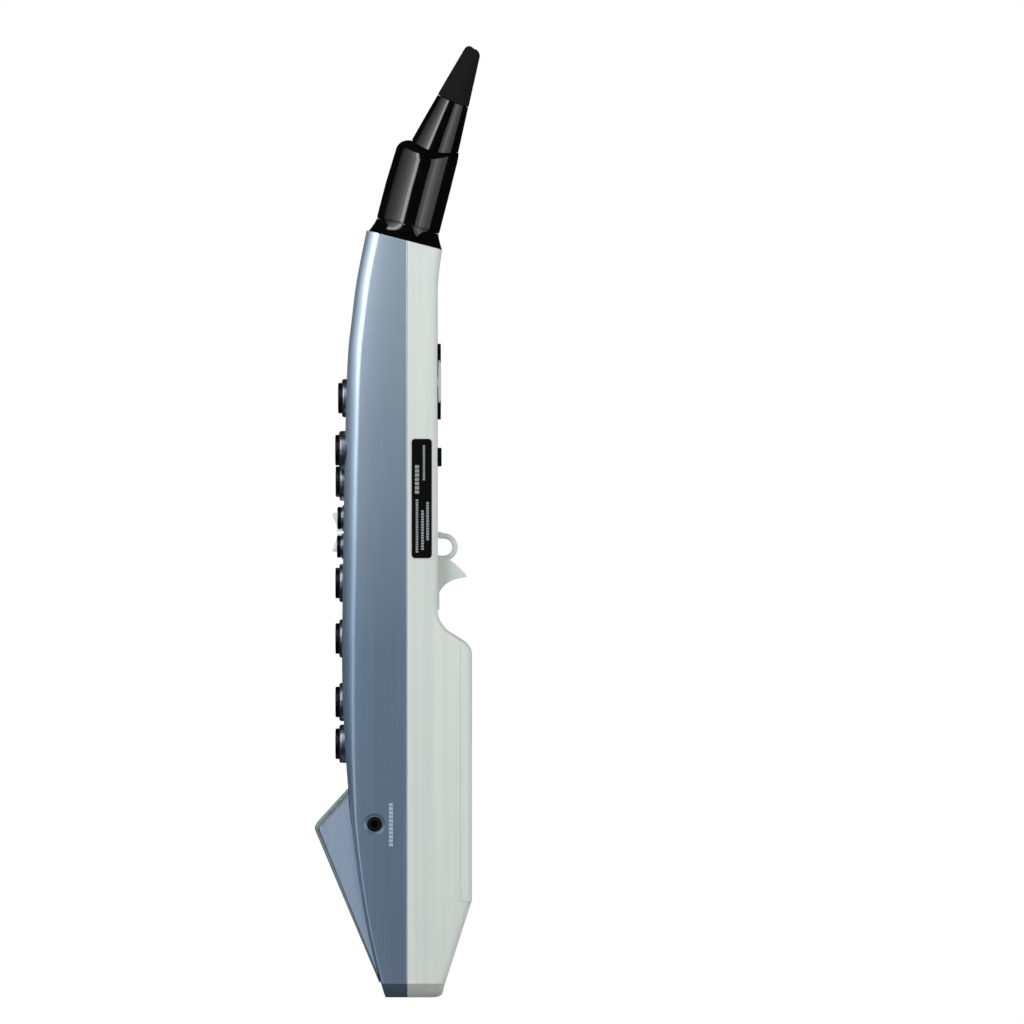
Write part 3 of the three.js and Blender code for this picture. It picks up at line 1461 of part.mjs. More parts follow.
function breathTube() {
  const end = rearPoint(0, sensorRear - sensorLength / 2, sensorTop + gap);
  const start = neckPoint(-tenonLength + tubePlugIn);
  const leave = neckPoint(-tenonLength - tubeRadius);
  const drop = end.clone().add(new THREE.Vector3(0, 0, tubeRadius * 2));
  const bend = leave.clone().lerp(drop, 0.5);
  const path = new THREE.CatmullRomCurve3([start, leave, bend, drop, end]);
  const pipe = (radius, count) => {
    const circle = new THREE.Shape(Array.from({ length: count }, (_, i) => new THREE.Vector2(
      radius * Math.cos((i / count) * Math.PI * 2), radius * Math.sin((i / count) * Math.PI * 2))));
    return solidOf(new THREE.ExtrudeGeometry(circle, { steps: tubeSteps, extrudePath: path }));
  };
  const bore = pipe(tubeBoreRadius, tubeSides / 2);
  const mouthRadius = tubeBoreRadius * tubeMouthShare;
  const mouth = rod(mouthRadius, neckPoint(-tenonLength), neckAxis, tubePlugIn + gap * 3, tubeSides / 2);
  const exit = rod(mouthRadius, end.clone().setZ(end.z - gap), upward, tubeRadius * 2, tubeSides / 2);
  return without(pipe(tubeRadius, tubeSides), [bore, mouth, exit]);
}

// The instrument
addPiece('front_shell', frontShell(), finishes.blue);
addPiece('rear_shell', rearShell(), finishes.grey);
addPiece('neck_collar', neckCollar(), finishes.glossBlack);
addPiece('mouthpiece_barrel', barrel(), finishes.glossBlack);
addPiece('mouthpiece_beak', beak(), finishes.glossBlack);
addPiece('lip_sleeve', lipSleeve(), finishes.mattBlack);
keys.forEach((key, n) => {
  addPiece(`key_bezel_${n + 1}`, keyBezel(key), finishes.bezelBlue);
  addPiece(`key_cap_${n + 1}`, keyCap(key), finishes.keyBlack);
});
addPiece('side_key_upper', paddle(1), finishes.frost);
addPiece('side_key_lower', paddle(-1), finishes.frost);
addPiece('octave_up_key', octaveKey(1), finishes.keyBlack);
addPiece('octave_down_key', octaveKey(-1), finishes.keyBlack);
addPiece('function_button', functionButton(), finishes.keyBlack);
addPiece('thumb_rest', thumbRest(), finishes.paleGrey);
addPiece('strap_ring', strapRing(), finishes.paleGrey);
addPiece('thumb_hook', thumbHook(), finishes.paleGrey);
screws.forEach(({ name, offset, height }) => {
  addPiece(name, screw(offset, height, screwSeatDepth, -screwReach), finishes.steel);
});
addPiece('screw_neck', screw(0, neckScrewHeight, neckScrewSeat, (tenonWall + tenonPipe) / 2), finishes.steel);
addPiece('battery_door', batteryDoor(), finishes.grey);
addPiece('battery_label', batteryLabel(), finishes.label);
addPiece('side_label', sideLabel(), finishes.label);
addPiece('battery_tray', batteryTray(), finishes.mattBlack);
cellPlaces().forEach(([offset, low], n) => {
  addPiece(`battery_cell_${n + 1}`, batteryCell(offset, low), finishes.cell);
});
addPiece('contact_plate_lower', contactPlate(bayBottom + gap, upward), finishes.steel);
addPiece('contact_plate_upper', contactPlate(bayBottom + bayLength - gap, downward), finishes.steel);
addPiece('headphone_jack', headphoneJack(), finishes.mattBlack);
addPiece('usb_socket', usbSocket(), finishes.steel);
addPiece('power_button', powerButton(), finishes.keyBlack);
addPiece('slide_switch', slideSwitch(), finishes.keyBlack);
addPiece('speaker_grille', speakerGrille(), finishes.mattBlack);
addPiece('speaker_housing', speakerHousing(), finishes.paleBlue);
addPiece('speaker_driver', speakerDriver(), finishes.paper);
addPiece('key_board', keyBoard(), finishes.board);
addPiece('rear_board', rearBoard(), finishes.board);
addPiece('breath_sensor', breathSensor(), finishes.mattBlack);
addPiece('breath_tube', breathTube(), finishes.frost);

export default windController;
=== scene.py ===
from math import atan2, ceil, cos, dist, pi, radians, sin, sqrt, tan
from types import SimpleNamespace

import bmesh
import bpy
from mathutils import Matrix, Vector


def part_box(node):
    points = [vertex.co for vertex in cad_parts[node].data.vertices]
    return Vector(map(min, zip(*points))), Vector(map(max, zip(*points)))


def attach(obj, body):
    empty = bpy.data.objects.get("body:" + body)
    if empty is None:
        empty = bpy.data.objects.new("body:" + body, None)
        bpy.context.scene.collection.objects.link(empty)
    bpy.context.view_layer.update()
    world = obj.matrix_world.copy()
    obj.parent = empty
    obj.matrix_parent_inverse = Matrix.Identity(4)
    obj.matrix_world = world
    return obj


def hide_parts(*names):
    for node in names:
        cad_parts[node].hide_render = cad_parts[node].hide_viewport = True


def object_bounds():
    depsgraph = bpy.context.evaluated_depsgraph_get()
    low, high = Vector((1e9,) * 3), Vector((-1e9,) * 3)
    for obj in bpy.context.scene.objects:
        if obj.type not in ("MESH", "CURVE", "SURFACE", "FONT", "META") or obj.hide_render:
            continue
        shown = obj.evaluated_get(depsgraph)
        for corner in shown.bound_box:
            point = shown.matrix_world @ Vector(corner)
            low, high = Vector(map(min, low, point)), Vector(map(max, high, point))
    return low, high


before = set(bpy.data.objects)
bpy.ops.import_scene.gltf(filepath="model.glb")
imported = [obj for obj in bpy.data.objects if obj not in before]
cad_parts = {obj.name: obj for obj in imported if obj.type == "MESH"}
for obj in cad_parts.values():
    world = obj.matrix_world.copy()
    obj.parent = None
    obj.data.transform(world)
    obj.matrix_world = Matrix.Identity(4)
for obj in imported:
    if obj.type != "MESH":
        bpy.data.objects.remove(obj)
cad_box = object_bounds()

# A digital wind controller. Sizes are in millimetres in the body's own frame: heights from the foot,
# depths from the seam plane between the shells (rear positive), X across. Pieces are moved to the
# frame of the record, whose origin is the centre of the strap ring, when they are finished.
MILLIMETRE = 0.001
RING_PLACE = Vector((0.6, 17.8, 220.5))
PLACE = Matrix.Scale(MILLIMETRE, 4) @ Matrix.Translation(-RING_PLACE)

# Shared clearances and smoothness
GAP = 0.3
WALL = 2.2
OVERRUN = 30.0
LABEL_GAP = 0.05
TINY = 1e-6
SHARP_ANGLE = radians(32)
BLUNT_ANGLE = radians(60)
ROUND_PROFILE = 0.5
TURNS = 96
SMALL_TURNS = 40
ARC_STEPS = 6
BEVEL_STEPS = 3
CURVE_STEPS = 16
CORNER_STEPS = 10
EDGE_STEPS = 16
SHELL_GAP = 0.08
FRONT_SEAM_ROUND = 0.5
REAR_SEAM_ROUND = 0.3
SEAM_STEPS = 5

# Signs of a half of the body, and of the upper and lower of two like pieces
FRONT_HALF = -1
REAR_HALF = 1
UPPER = 1
LOWER = -1

# Body
BODY_HEIGHT = 375.0
BODY_HALF = 21.1
FRONT_DEPTH = 31.9
DOOR_DEPTH = 31.5
NECK_DEPTH = 14.7
NECK_FLARE = 6.6
NECK_FLARE_HEIGHT = 30.0
BODY_RUN_OUT = 12.0
FRONT_CORNER = 7.0
REAR_CORNER = 4.0
CORNER_LIMIT_SHARE = 0.9
FOOT_DEPTH = 14.0
FOOT_FLAT_HALF = 5.0
FOOT_ARC_RADIUS = 29.5
HEEL_REACH = 3.9
HEEL_HEIGHT = 5.4
SLOPE_TOP = 47.0
HUMP_LOW = 168.0
HUMP_RISE = 21.0
HUMP_CREST_INSET = 3.3
HUMP_CREST_RISE = 6.1
HUMP_FOOT_REACH = 4.8
HUMP_FOOT_RISE = 11.5
HUMP_HIGH = HUMP_LOW + HUMP_RISE
LEVEL_STEP = 3.0
FINE_LEVEL_STEP = 0.7
SEAM_REACH = BODY_HALF * 2
FAR_REACH = BODY_HALF * 4
# Outlines as shares of the body's height, and of its depth, half width or corner
FRONT_EDGE_SHARES = (
    (0, 0.335), (0.009, 0.367), (0.052, 0.498), (0.112, 0.646), (0.184, 0.774), (0.273, 0.903),
    (0.362, 0.975), (0.44, 1), (0.571, 0.984), (0.728, 0.953), (0.832, 0.915), (0.885, 0.853),
    (0.937, 0.774), (0.997, 0.636), (1.032, 0.56),
)
WIDTH_SHARES = (
    (0, 0.945), (0.06, 0.955), (0.14, 0.985), (0.3, 1), (0.42, 1), (0.53, 0.976), (0.61, 0.962),
    (0.71, 0.938), (0.79, 0.92), (0.87, 0.881), (0.92, 0.858), (1.03, 0.8),
)
FRONT_CORNER_SHARES = ((0, 0.19), (0.2, 0.3), (0.28, 0.6), (0.4, 0.95), (0.5, 1), (1.1, 1))

# Neck and mouthpiece
NECK_LEAN = radians(14.5)
NECK_SEAT_DEPTH = -1.7
NECK_SEAT_HEIGHT = 370.7
COLLAR_HEIGHT = 7.2
COLLAR_INSET = 0.5
COLLAR_WIDTH_SHARE = 0.945
COLLAR_FLARE_POWER = 1.25
COLLAR_EDGE_STEP = 0.8
COLLAR_ROUND = 15.6
SEAT_PASSES = 4
COLLAR_STEPS = 16
TENON_RADIUS = 7.5
TENON_LENGTH = 24.0
AIR_PIPE_RADIUS = 2.9
AIR_PIPE_LENGTH = 90.0
SPIGOT_RADIUS = 8.8
SPIGOT_LENGTH = 16.0
BARREL_RADIUS = 15.8
BARREL_LENGTH = 34.9
BARREL_TAPER_START = 18.0
BARREL_TAPER_SHARE = 0.1
BARREL_GROOVE = 0.3
SHOULDER_HEIGHT = 6.0
SHOULDER_DROP = 3.0
BARREL_SOCKET_DEPTH = 17.0
BEAK_LENGTH = 51.2
BEAK_BASE_HALF_WIDTH = 11.3
BEAK_BASE_HALF_DEPTH = 11.8
BEAK_TIP_HALF_WIDTH = 3.7
BEAK_TIP_HALF_DEPTH = 3.6
BEAK_TIP_ROUND = 2.4
BEAK_TIP_SLOPE = 0.3
BEAK_BASE_OFFSET = 3.1
BEAK_TIP_OFFSET = 9.6
BEAK_PLUG_RADIUS = 8.0
BEAK_PLUG_LENGTH = 6.0
BEAK_STEPS = 24
SHOULDER_STEPS = 20
SLEEVE_START_SHARE = 0.46
SLEEVE_THICKNESS = 1.3
SLEEVE_OVERHANG = 0.12
SLEEVE_LIP_ROUND = 0.12
AIR_SLOT_HALF_WIDTH = 2.4
AIR_SLOT_HALF_DEPTH = 0.9

# Keys
BEZEL_ROUND = 1.3
BORE_ROUND = 0.25
KEY_PLAY = 0.4
KEY_ROUND = 0.6
KEY_DISH = 0.45
FLANGE_REACH = 0.5
FLANGE_THICKNESS = 1.0
LARGE_BORE = 7.9
SMALL_BORE = 5.9
LARGE_KEYS = (1, 2, 3, 6, 7, 8, 9)
SMALL_KEYS = (4, 5)
SMALL_KEY_RIM = 1.6
SMALL_RING_WIDTH = 0.9
SMALL_RING_ROUND = 0.5
PADDLE_LIP_THICKNESS = 1.0
PADDLE_INNER_DROP = 2.5
PADDLE_ROUND = 0.5
PADDLE_BEND_SHARE = 1 / 3

# Thumb side
THUMB_REST_RADIUS = 10.9
THUMB_REST_PLACE = (3.1, 301.6)
REST_TOP_SHARE = 0.8
REST_ROUND = 1.0
REST_FOOT_ROUND_SHARE = 0.25
REST_GROOVE = (0.15, 0.6)
REST_GROOVE_DEPTH = 0.35
OCTAVE_RADIUS = 10.8
OCTAVE_OFFSET = -1.2
OCTAVE_SPREAD = 7.8
OCTAVE_SPLIT = 0.7
OCTAVE_TIP = 2.1
OCTAVE_PROUD = 1.6
OCTAVE_REACH = 8.0
OCTAVE_ROUND = 0.35
OCTAVE_EDGE_ANGLE = radians(50)
FUNCTION_RADIUS = 4.6
FUNCTION_HEIGHT = 264.6
RING_OUTER = 6.8
RING_INNER = 4.15
RING_THICKNESS = 4.7
RING_ROUND = 0.9
RING_LEG_FLARE = 0.9
RING_STEPS = 40
HOOK_OFFSET = -1.3
HOOK_WIDTH = 12.0
HOOK_LOW = 189.8
HOOK_TOP = 216.6
HOOK_TIP_DEPTH = 29.2
HOOK_TIP_RISE = 16.4
HOOK_TAIL_RISE = 8.3
HOOK_BROW_DROP = 1.7
HOOK_PLATE = 0.5
HOOK_RIB = 0.5
HOOK_RIB_HEIGHT = 0.25
HOOK_RIB_PITCH = 1.6
HOOK_RIB_COUNT = 4
HOOK_RIB_ROUND = HOOK_RIB / 3
HOOK_BEND_SHARE = 0.25
HOOK_BEND_DROP = 1.5
HOOK_ROUND = 0.3

# Screws
WELL_RADIUS = 3.7
WELL_WALL = 1.1
SCREW_SEAT = 4.0
PILOT_RADIUS = 1.7
# Screws by node, with their places across and up the body
SCREW_PLACES = (
    ("screw_upper_right", 9.2, 329.5), ("screw_upper_left", -9.2, 329.5), ("screw_middle", -12.4, 244.7),
    ("screw_lower", 12.3, 194.0), ("screw_foot_right", 10.2, 26.3), ("screw_foot_left", -10.2, 26.3),
)
SCREW_HEAD_RADIUS = 2.9
SCREW_HEAD_HEIGHT = 1.9
SCREW_SHANK = 1.4
CROSS_HALF = 0.35
CROSS_REACH = 1.7
CROSS_DEPTH = 1.1
NECK_SCREW_HEIGHT = 352.6
DRAIN_PLACE = (9.7, 341.3)
DRAIN_BORE = 2.9
NECK_WELL_SEAT = 7.0

# Battery door and labels
DOOR_SEAM = 25.9
DOOR_BOTTOM = 47.2
DOOR_EDGE = 0.12
DOOR_EDGE_STEPS = 2
DOOR_GAP = 0.09
LABEL_WIDTH = 28.9
LABEL_LENGTH = 41.4
LABEL_DROP = 2.0
LABEL_TOP = HUMP_LOW - LABEL_DROP
LABEL_THICKNESS = 0.35
LABEL_CORNER = 1.6
SIDE_LABEL_LOW = 215.2
SIDE_LABEL_LENGTH = 58.2
SIDE_LABEL_START = 2.2
SIDE_LABEL_WIDTH = 9.8

# Sockets and switches
JACK_DEPTH = 15.9
JACK_HEIGHT = 85.23
JACK_NOZZLE = 3.4
JACK_BORE = 1.8
JACK_RECESS_RADIUS = 5.2
JACK_RECESS = 0.8
JACK_RECESS_SLOPE = 0.9
SIDE_CONTROL_DEPTH = 12.0
USB_HEIGHT = 136.03
USB_HALF_LENGTH = 4.6
USB_HALF_WIDTH = 1.7
USB_LIP = 0.4
USB_TONGUE_INSET = 1.2
USB_ROUND = 1.1
POWER_HEIGHT = 155.13
POWER_RADIUS = 1.7
POWER_FLANGE_REACH = 0.9
SLIDE_HEIGHT = 118.93
SLIDE_HALF = 1.65
SLIDE_TRAVEL = 4.0
SLIDE_RIDGES = 3

# Speaker horn
HORN_FOOT = 7.8
HORN_TOP = 102.5
HORN_APEX_DEPTH = 45.7
HORN_APEX_HEIGHT = 84.0
HORN_APEX_ROUND = 2.2
HORN_FOOT_PROUD = 0.75
HORN_HALF = 18.4
HORN_PANEL_FOOT = 10.5
HORN_EDGE_ROUND = 0.7
HORN_EDGE_ANGLE = radians(70)
GRILLE_TOP_THICKNESS = 2.4
GRILLE_THICKNESS = 1.7
GRILLE_FOOT_THICKNESS = 0.5
HORN_WALL = 1.8
HORN_RUN_IN = 5.4
HORN_BACK_DEPTH = 6.6
HORN_OUTSIDE = (0, 0, 0)
DRIVER_DROP = 26.0
DRIVER_RADIUS = 14.8
DRIVER_PLAY = 0.9
DRIVER_CONE = 12.6
MOUTH_REACH = 10.0
SLOT_HEIGHT = 1.5
SLOT_PITCH = 3.3
SLOT_COUNT = 8

# Prints: plain figures and marks, with rows of small blocks in place of words
PRINT_RISE = 0.05
DIGIT_HALF_WIDTH = 0.65
DIGIT_HALF_HEIGHT = 1.05
DIGIT_STROKE = 0.4
DIGIT_GAP = 0.02
# The bars of each plain figure, and how many signs stand beside it
DIGIT_BARS = ("bc", "abged", "abgcd", "fgbc", "afgcd", "afgedc")
SIGN_COUNTS = (3, 2, 3, 2, 3, 6)
TITLE_DROP = 2.9
TITLE_LENGTH = 7.0
RULE_HALF_LENGTH = 13.1
RULE_HALF_THICKNESS = 0.27
RULE_DROPS = (5.0, 29.5)
ROW_DROP = 8.3
ROW_PITCH = 3.65
DIGIT_PLACE = -10.9
ROW_START = -8.7
SIGN_SIZE = 2.0
SIGN_PITCH = 2.6
NOTE_DROPS = (32.7, 35.7, 38.7)
NOTE_LENGTHS = (12.0, 26.0, 24.5)
NOTE_SIZE = 1.7
LETTER_SHARE = 0.75
# Lines on the side label: their depth, their two ends along it and the size of a letter
SIDE_LINES = (
    (4.8, 2.7, 29.0, 1.2), (4.8, 31.5, 45.9, 2.0), (7.5, 4.0, 23.6, 1.3), (10.0, 8.7, 27.7, 1.3),
    (8.2, 38.0, 55.4, 1.1),
)
JACK_MARK_REACH = 8.0
JACK_MARK_LENGTH = 21.5
JACK_MARK_SIZE = 2.0
# Marks beside the octave keys: place across, rise over the thumb rest and pointing side
OCTAVE_MARKS = ((8.3, 19.9, UPPER), (7.9, -21.8, LOWER))
OCTAVE_MARK_HALF = 1.5
FUNCTION_MARK_RISE = 7.8
FUNCTION_MARK_LENGTH = 12.4
FUNCTION_MARK_SIZE = 1.6
ENGRAVING_DEPTH = 0.3
ENGRAVING_PLACE = 1.0
ENGRAVING_HALF = 5.9
ENGRAVED_BARS = (3.4, 5.9)
ENGRAVED_BAR_HALF = 0.55
ENGRAVED_ARROW = (8.3, 14.2)

# Looks: the noise in each surface, and the painted light on the blue shell: its top painted paler, as if
# more light fell there
GRAIN_ENDS = (0.35, 0.65)
GRAIN_DETAIL = 6.0
GRAIN_ROUGHNESS = 0.6
BUMP_SCALE = 900.0
BUMP_DETAIL = 3.0
BUMP_DEPTH = MILLIMETRE / 10
PLAIN_GLOSS = 0.5
# The stretch of height over which the blue shell is painted paler as painted light, and how far the paler
# colour takes over
PAINTED_LIGHT_HEIGHTS = (170, 355)
PAINTED_LIGHT_SHARE = 0.9
STREAKS = (1600, 1600, 5)
BROAD_STREAKS = (160, 160, 3)
SPECKLE = (1500, 1500, 1500)
FINE_GRAIN = (800, 800, 800)
KEY_GRAIN = (400, 400, 400)
MEDIUM_GRAIN = (500, 500, 500)
LARGE_GRAIN = (300, 300, 300)
GLOSS_GRAIN = (60, 60, 60)
BROAD_GRAIN = (5, 5, 5)
CELL_STREAKS = (300, 300, 30)
MATT = (0.8, 0.9)
WHITE = (1, 1, 1, 1)
BLACK = (0, 0, 0, 1)

# Camera, world, floor and tent: places and sizes in metres, the lens and its sensor in millimetres
CAMERA_PLACE = (5.646, 0.0334, 0.0172)
LENS = 405.0
SENSOR = 36.0
WORLD_LIGHT = 0.5
BACKGROUND_LIGHT = 1.0
FLOOR_DROP = 0.3
FLOOR_HEIGHT = cad_box[0][2] - FLOOR_DROP
FLOOR_REACH = 1.8
FLOOR_SHADES = ((0.66, 0.66, 0.66), (0.7, 0.7, 0.7))
TENT_RADIUS = 2.2
TENT_TOP = 3.0
TENT_LIFT = 0.01
TENT_SHADES = ((0.06, 0.06, 0.06), (0.08, 0.08, 0.08))

# Tall soft boxes all round, as angles from the camera and powers: strong on its left, weaker elsewhere
BOX_DISTANCE = 1.4
BOX_STEP = 12
STRONG_BOX_ENDS = (0.15, 2.4)
STRONG_BOXES = ((-24, 12.0), (-36, 4.8), (-48, 3.0), (-60, 2.0), (-72, 1.4), (-84, 1.0), (-96, 0.5))
LOW_BOX_ENDS = (-0.5, -0.15)
LOW_BOXES = ((-24, 0.6), (-36, 0.4))
WEAK_BOX_ENDS = (-0.5, 0.7)
WEAK_BOXES = ((29, 1.3), (41, 2.5), (53, 1.7), (65, 1.1), (77, 0.9))
REAR_BOXES = ((113, 1.4), (125, 1.7), (137, 1.5), (150, 1.3), (203, 1.9), (215, 2.3), (227, 1.9), (240, 1.3))

# Directions
REARWARD = Vector((0, 1, 0))
FRONTWARD = Vector((0, -1, 0))
RIGHTWARD = Vector((1, 0, 0))
LEFTWARD = Vector((-1, 0, 0))
UPWARD = Vector((0, 0, 1))
SIDE_BASIS = Matrix(((0, 0, 1), (1, 0, 0), (0, 1, 0)))
REAR_BASIS = Matrix(((1, 0, 0), (0, 0, 1), (0, 1, 0)))
# The faces of a block, by the numbers of their corners
BLOCK_FACES = ((0, 2, 3, 1), (4, 5, 7, 6), (0, 1, 5, 4), (2, 6, 7, 3), (0, 4, 6, 2), (1, 3, 7, 5))


# Meshes
def linked(name, data):
    made = bpy.data.objects.new(name, data)
    bpy.context.scene.collection.objects.link(made)
    return made


def mesh_object(points, faces):
    mesh = bpy.data.meshes.new("piece")
    mesh.from_pydata([tuple(point) for point in points], [], faces)
    work = bmesh.new()
    work.from_mesh(mesh)
    bmesh.ops.recalc_face_normals(work, faces=work.faces)
    work.to_mesh(mesh)
    work.free()
    return linked("piece", mesh)


def delete(thing):
    mesh = thing.data
    bpy.data.objects.remove(thing)
    bpy.data.meshes.remove(mesh)


def combine(target, tools, operation):
    """Cut, join or intersect a closed mesh with others, which are used up."""
    for tool in tools:
        modifier = target.modifiers.new(operation, "BOOLEAN")
        modifier.operation = operation
        modifier.solver = "MANIFOLD"
        modifier.object = tool
    depsgraph = bpy.context.evaluated_depsgraph_get()
    result = bpy.data.meshes.new_from_object(target.evaluated_get(depsgraph))
    target.modifiers.clear()
    spent = target.data
    target.data = result
    bpy.data.meshes.remove(spent)
    for tool in tools:
        delete(tool)
    return target


def without(target, tools):
    return combine(target, tools, "DIFFERENCE")


def within(target, tool):
    return combine(target, [tool], "INTERSECT")


def joined(parts):
    return combine(parts[0], parts[1:], "UNION")


def bevelled(thing, width, segments=BEVEL_STEPS, angle=SHARP_ANGLE):
    """Round the edges of a mesh that turn by more than an angle."""
    work = bmesh.new()
    work.from_mesh(thing.data)
    bmesh.ops.dissolve_limit(work, angle_limit=TINY, verts=work.verts, edges=work.edges)
    edges = [edge for edge in work.edges if edge.calc_face_angle(0) > angle]
    bmesh.ops.bevel(
        work, geom=edges, offset=width, offset_type="OFFSET", segments=segments, profile=ROUND_PROFILE,
        affect="EDGES", clamp_overlap=True)
    work.to_mesh(thing.data)
    work.free()
    return thing


def loft(rings):
    """A closed mesh through rings of as many points each."""
    count = len(rings[0])
    points = [point for ring in rings for point in ring]
    faces = []
    for low in range(0, len(points) - count, count):
        for i in range(count):
            after = (i + 1) % count
            faces.append((low + i, low + after, low + count + after, low + count + i))
    faces.append(tuple(reversed(range(count))))
    faces.append(tuple(range(len(points) - count, len(points))))
    return mesh_object(points, faces)


def turned(profile, at, direction, segments=TURNS):
    """Revolve a profile of (radius, height) points about a direction through a point."""
    loop = Vector(profile[0][:2]) == Vector(profile[-1][:2])
    turn = UPWARD.rotation_difference(direction).to_matrix()
    points = []
    rows = []
    for radius, height in profile[:-1] if loop else profile:
        count = 1 if radius < TINY else segments
        rows.append((len(points), count))
        for i in range(count):
            angle = 2 * pi * i / segments
            points.append(at + turn @ Vector((radius * cos(angle), radius * sin(angle), height)))
    faces = []
    for (low, low_count), (high, high_count) in zip(rows, rows[1:] + rows[:1] if loop else rows[1:]):
        for i in range(segments):
            after = i + 1
            near = (low + i % low_count, low + after % low_count)
            far = (high + after % high_count, high + i % high_count)
            faces.append(tuple(dict.fromkeys(near + far)))
    return mesh_object(points, faces)


def turned_knob(corners, at, direction, segments=TURNS):
    """Revolve a solid profile whose corners may have a radius as a third number."""
    return turned(rounded(corners, closed=False), at, direction, segments)


def turned_ring(corners, at, direction):
    """Revolve a ring's profile whose corners may have a radius as a third number."""
    profile = rounded(corners)
    return turned(profile + profile[:1], at, direction)


def rod(radius, at, direction, length, segments=SMALL_TURNS):
    return turned([(0, 0), (radius, 0), (radius, length), (0, length)], at, direction, segments)


def blocks(pairs):
    """One mesh of separate boxes, each between two opposite corners."""
    corners = []
    faces = []
    for low, high in pairs:
        faces += [tuple(len(corners) + i for i in face) for face in BLOCK_FACES]
        sides = list(zip(low, high))
        corners += [Vector((x, y, z)) for z in sides[2] for y in sides[1] for x in sides[0]]
    return mesh_object(corners, faces)


def block(low, high):
    return blocks([(low, high)])


def rounded(corners, closed=True):
    """Replace corners given with a radius as a third number by arcs."""
    outline = []
    count = len(corners)
    for i, corner in enumerate(corners):
        here = Vector(corner[:2])
        radius = corner[2] if len(corner) > 2 else 0
        if not radius or (not closed and i in (0, count - 1)):
            outline.append(here)
            continue
        before = (Vector(corners[i - 1][:2]) - here).normalized()
        after = (Vector(corners[(i + 1) % count][:2]) - here).normalized()
        half = before.angle(after) / 2
        centre = here + (before + after).normalized() * (radius / sin(half))
        arm = here + before * (radius / tan(half)) - centre
        side = 1 if before.x * after.y - before.y * after.x < 0 else -1
        for step in range(ARC_STEPS + 1):
            angle = side * (pi - 2 * half) * step / ARC_STEPS
            outline.append(centre + Matrix.Rotation(angle, 2) @ arm)
    return outline


def rounded_box(left, right, low, high, corner):
    return rounded([(left, low, corner), (right, low, corner), (right, high, corner), (left, high, corner)])


def quadratic(start, control, end):
    points = []
    for step in range(1, CURVE_STEPS + 1):
        t = step / CURVE_STEPS
        points.append(tuple(
            (1 - t) ** 2 * a + 2 * t * (1 - t) * b + t * t * c for a, b, c in zip(start, control, end)))
    return points


def prism(outline, low, high, basis):
    """Extrude an outline between two distances along the third axis of a basis."""
    return loft([[basis @ Vector((x, y, reach)) for x, y in outline] for reach in (low, high)])


def side_prism(outline, left, right):
    return prism(outline, left, right, SIDE_BASIS)


def rear_prism(outline, low, high):
    return prism(outline, low, high, REAR_BASIS)


def lerp(start, end, share):
    return start + (end - start) * share


def body_box(node):
    low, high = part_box(node)
    return low / MILLIMETRE + RING_PLACE, high / MILLIMETRE + RING_PLACE


def front_point(place, depth):
    return Vector((place[0], -depth, place[1]))


def rear_point(place, depth):
    return Vector((place[0], depth, place[1]))


# Body outline
def value_at(points, height):
    last = len(points) - 1
    n = next((i for i, point in enumerate(points) if point[0] > height), last)
    low = points[max(n, 1) - 1]
    high = points[max(n, 1)]
    return low[1] + (high[1] - low[1]) * (height - low[0]) / (high[0] - low[0])


def curve_between(before, start, end, after, t):
    leave = (end - before) / 2
    arrive = (after - start) / 2
    return ((2 * start - 2 * end + leave + arrive) * t ** 3
            + (3 * end - 3 * start - 2 * leave - arrive) * t ** 2 + leave * t + start)


def smooth_edge(shares, size):
    controls = [(share * BODY_HEIGHT, value * size) for share, value in shares]
    last = len(controls) - 1
    points = []
    for i in range(last):
        near = [controls[min(max(i + n, 0), last)] for n in (-1, 0, 1, 2)]
        for step in range(EDGE_STEPS):
            points.append(tuple(curve_between(*axis, step / EDGE_STEPS) for axis in zip(*near)))
    points.append(controls[last])
    return points


FRONT_EDGE = smooth_edge(FRONT_EDGE_SHARES, FRONT_DEPTH)
WIDTH_EDGE = smooth_edge(WIDTH_SHARES, BODY_HALF)
FRONT_CORNER_EDGE = smooth_edge(FRONT_CORNER_SHARES, FRONT_CORNER)
FLARE_START = BODY_HEIGHT - NECK_FLARE_HEIGHT


def make_rear_edge():
    points = [(FOOT_DEPTH, 0)]
    heel = (FOOT_DEPTH + HEEL_REACH, HEEL_HEIGHT)
    points += quadratic(points[-1], (heel[0] - GAP, GAP), heel)
    points += [(DOOR_DEPTH - GAP, SLOPE_TOP - GAP), (DOOR_DEPTH, SLOPE_TOP), (DOOR_DEPTH, HUMP_LOW)]
    crest = (DOOR_DEPTH - HUMP_CREST_INSET, HUMP_LOW + HUMP_CREST_RISE)
    points += quadratic(points[-1], (DOOR_DEPTH, HUMP_LOW + HUMP_CREST_RISE / 2), crest)
    points.append((NECK_DEPTH + HUMP_FOOT_REACH, HUMP_LOW + HUMP_FOOT_RISE))
    points += quadratic(
        points[-1], (NECK_DEPTH, HUMP_LOW + (HUMP_FOOT_RISE + HUMP_RISE) / 2), (NECK_DEPTH, HUMP_HIGH))
    points.append((NECK_DEPTH, FLARE_START))
    points += quadratic(
        points[-1], (NECK_DEPTH, (FLARE_START + BODY_HEIGHT) / 2),
        (NECK_DEPTH + NECK_FLARE, BODY_HEIGHT + BODY_RUN_OUT))
    return [(height, depth) for depth, height in points]


REAR_EDGE = make_rear_edge()


def front_at(height):
    return value_at(FRONT_EDGE, height)


def rear_at(height):
    return value_at(REAR_EDGE, height)


FOOT_ARC_CENTRE = sqrt(FOOT_ARC_RADIUS ** 2 - FOOT_FLAT_HALF ** 2)
FOOT_ARC_HEIGHT = FOOT_ARC_CENTRE - sqrt(FOOT_ARC_RADIUS ** 2 - value_at(WIDTH_EDGE, 0) ** 2)


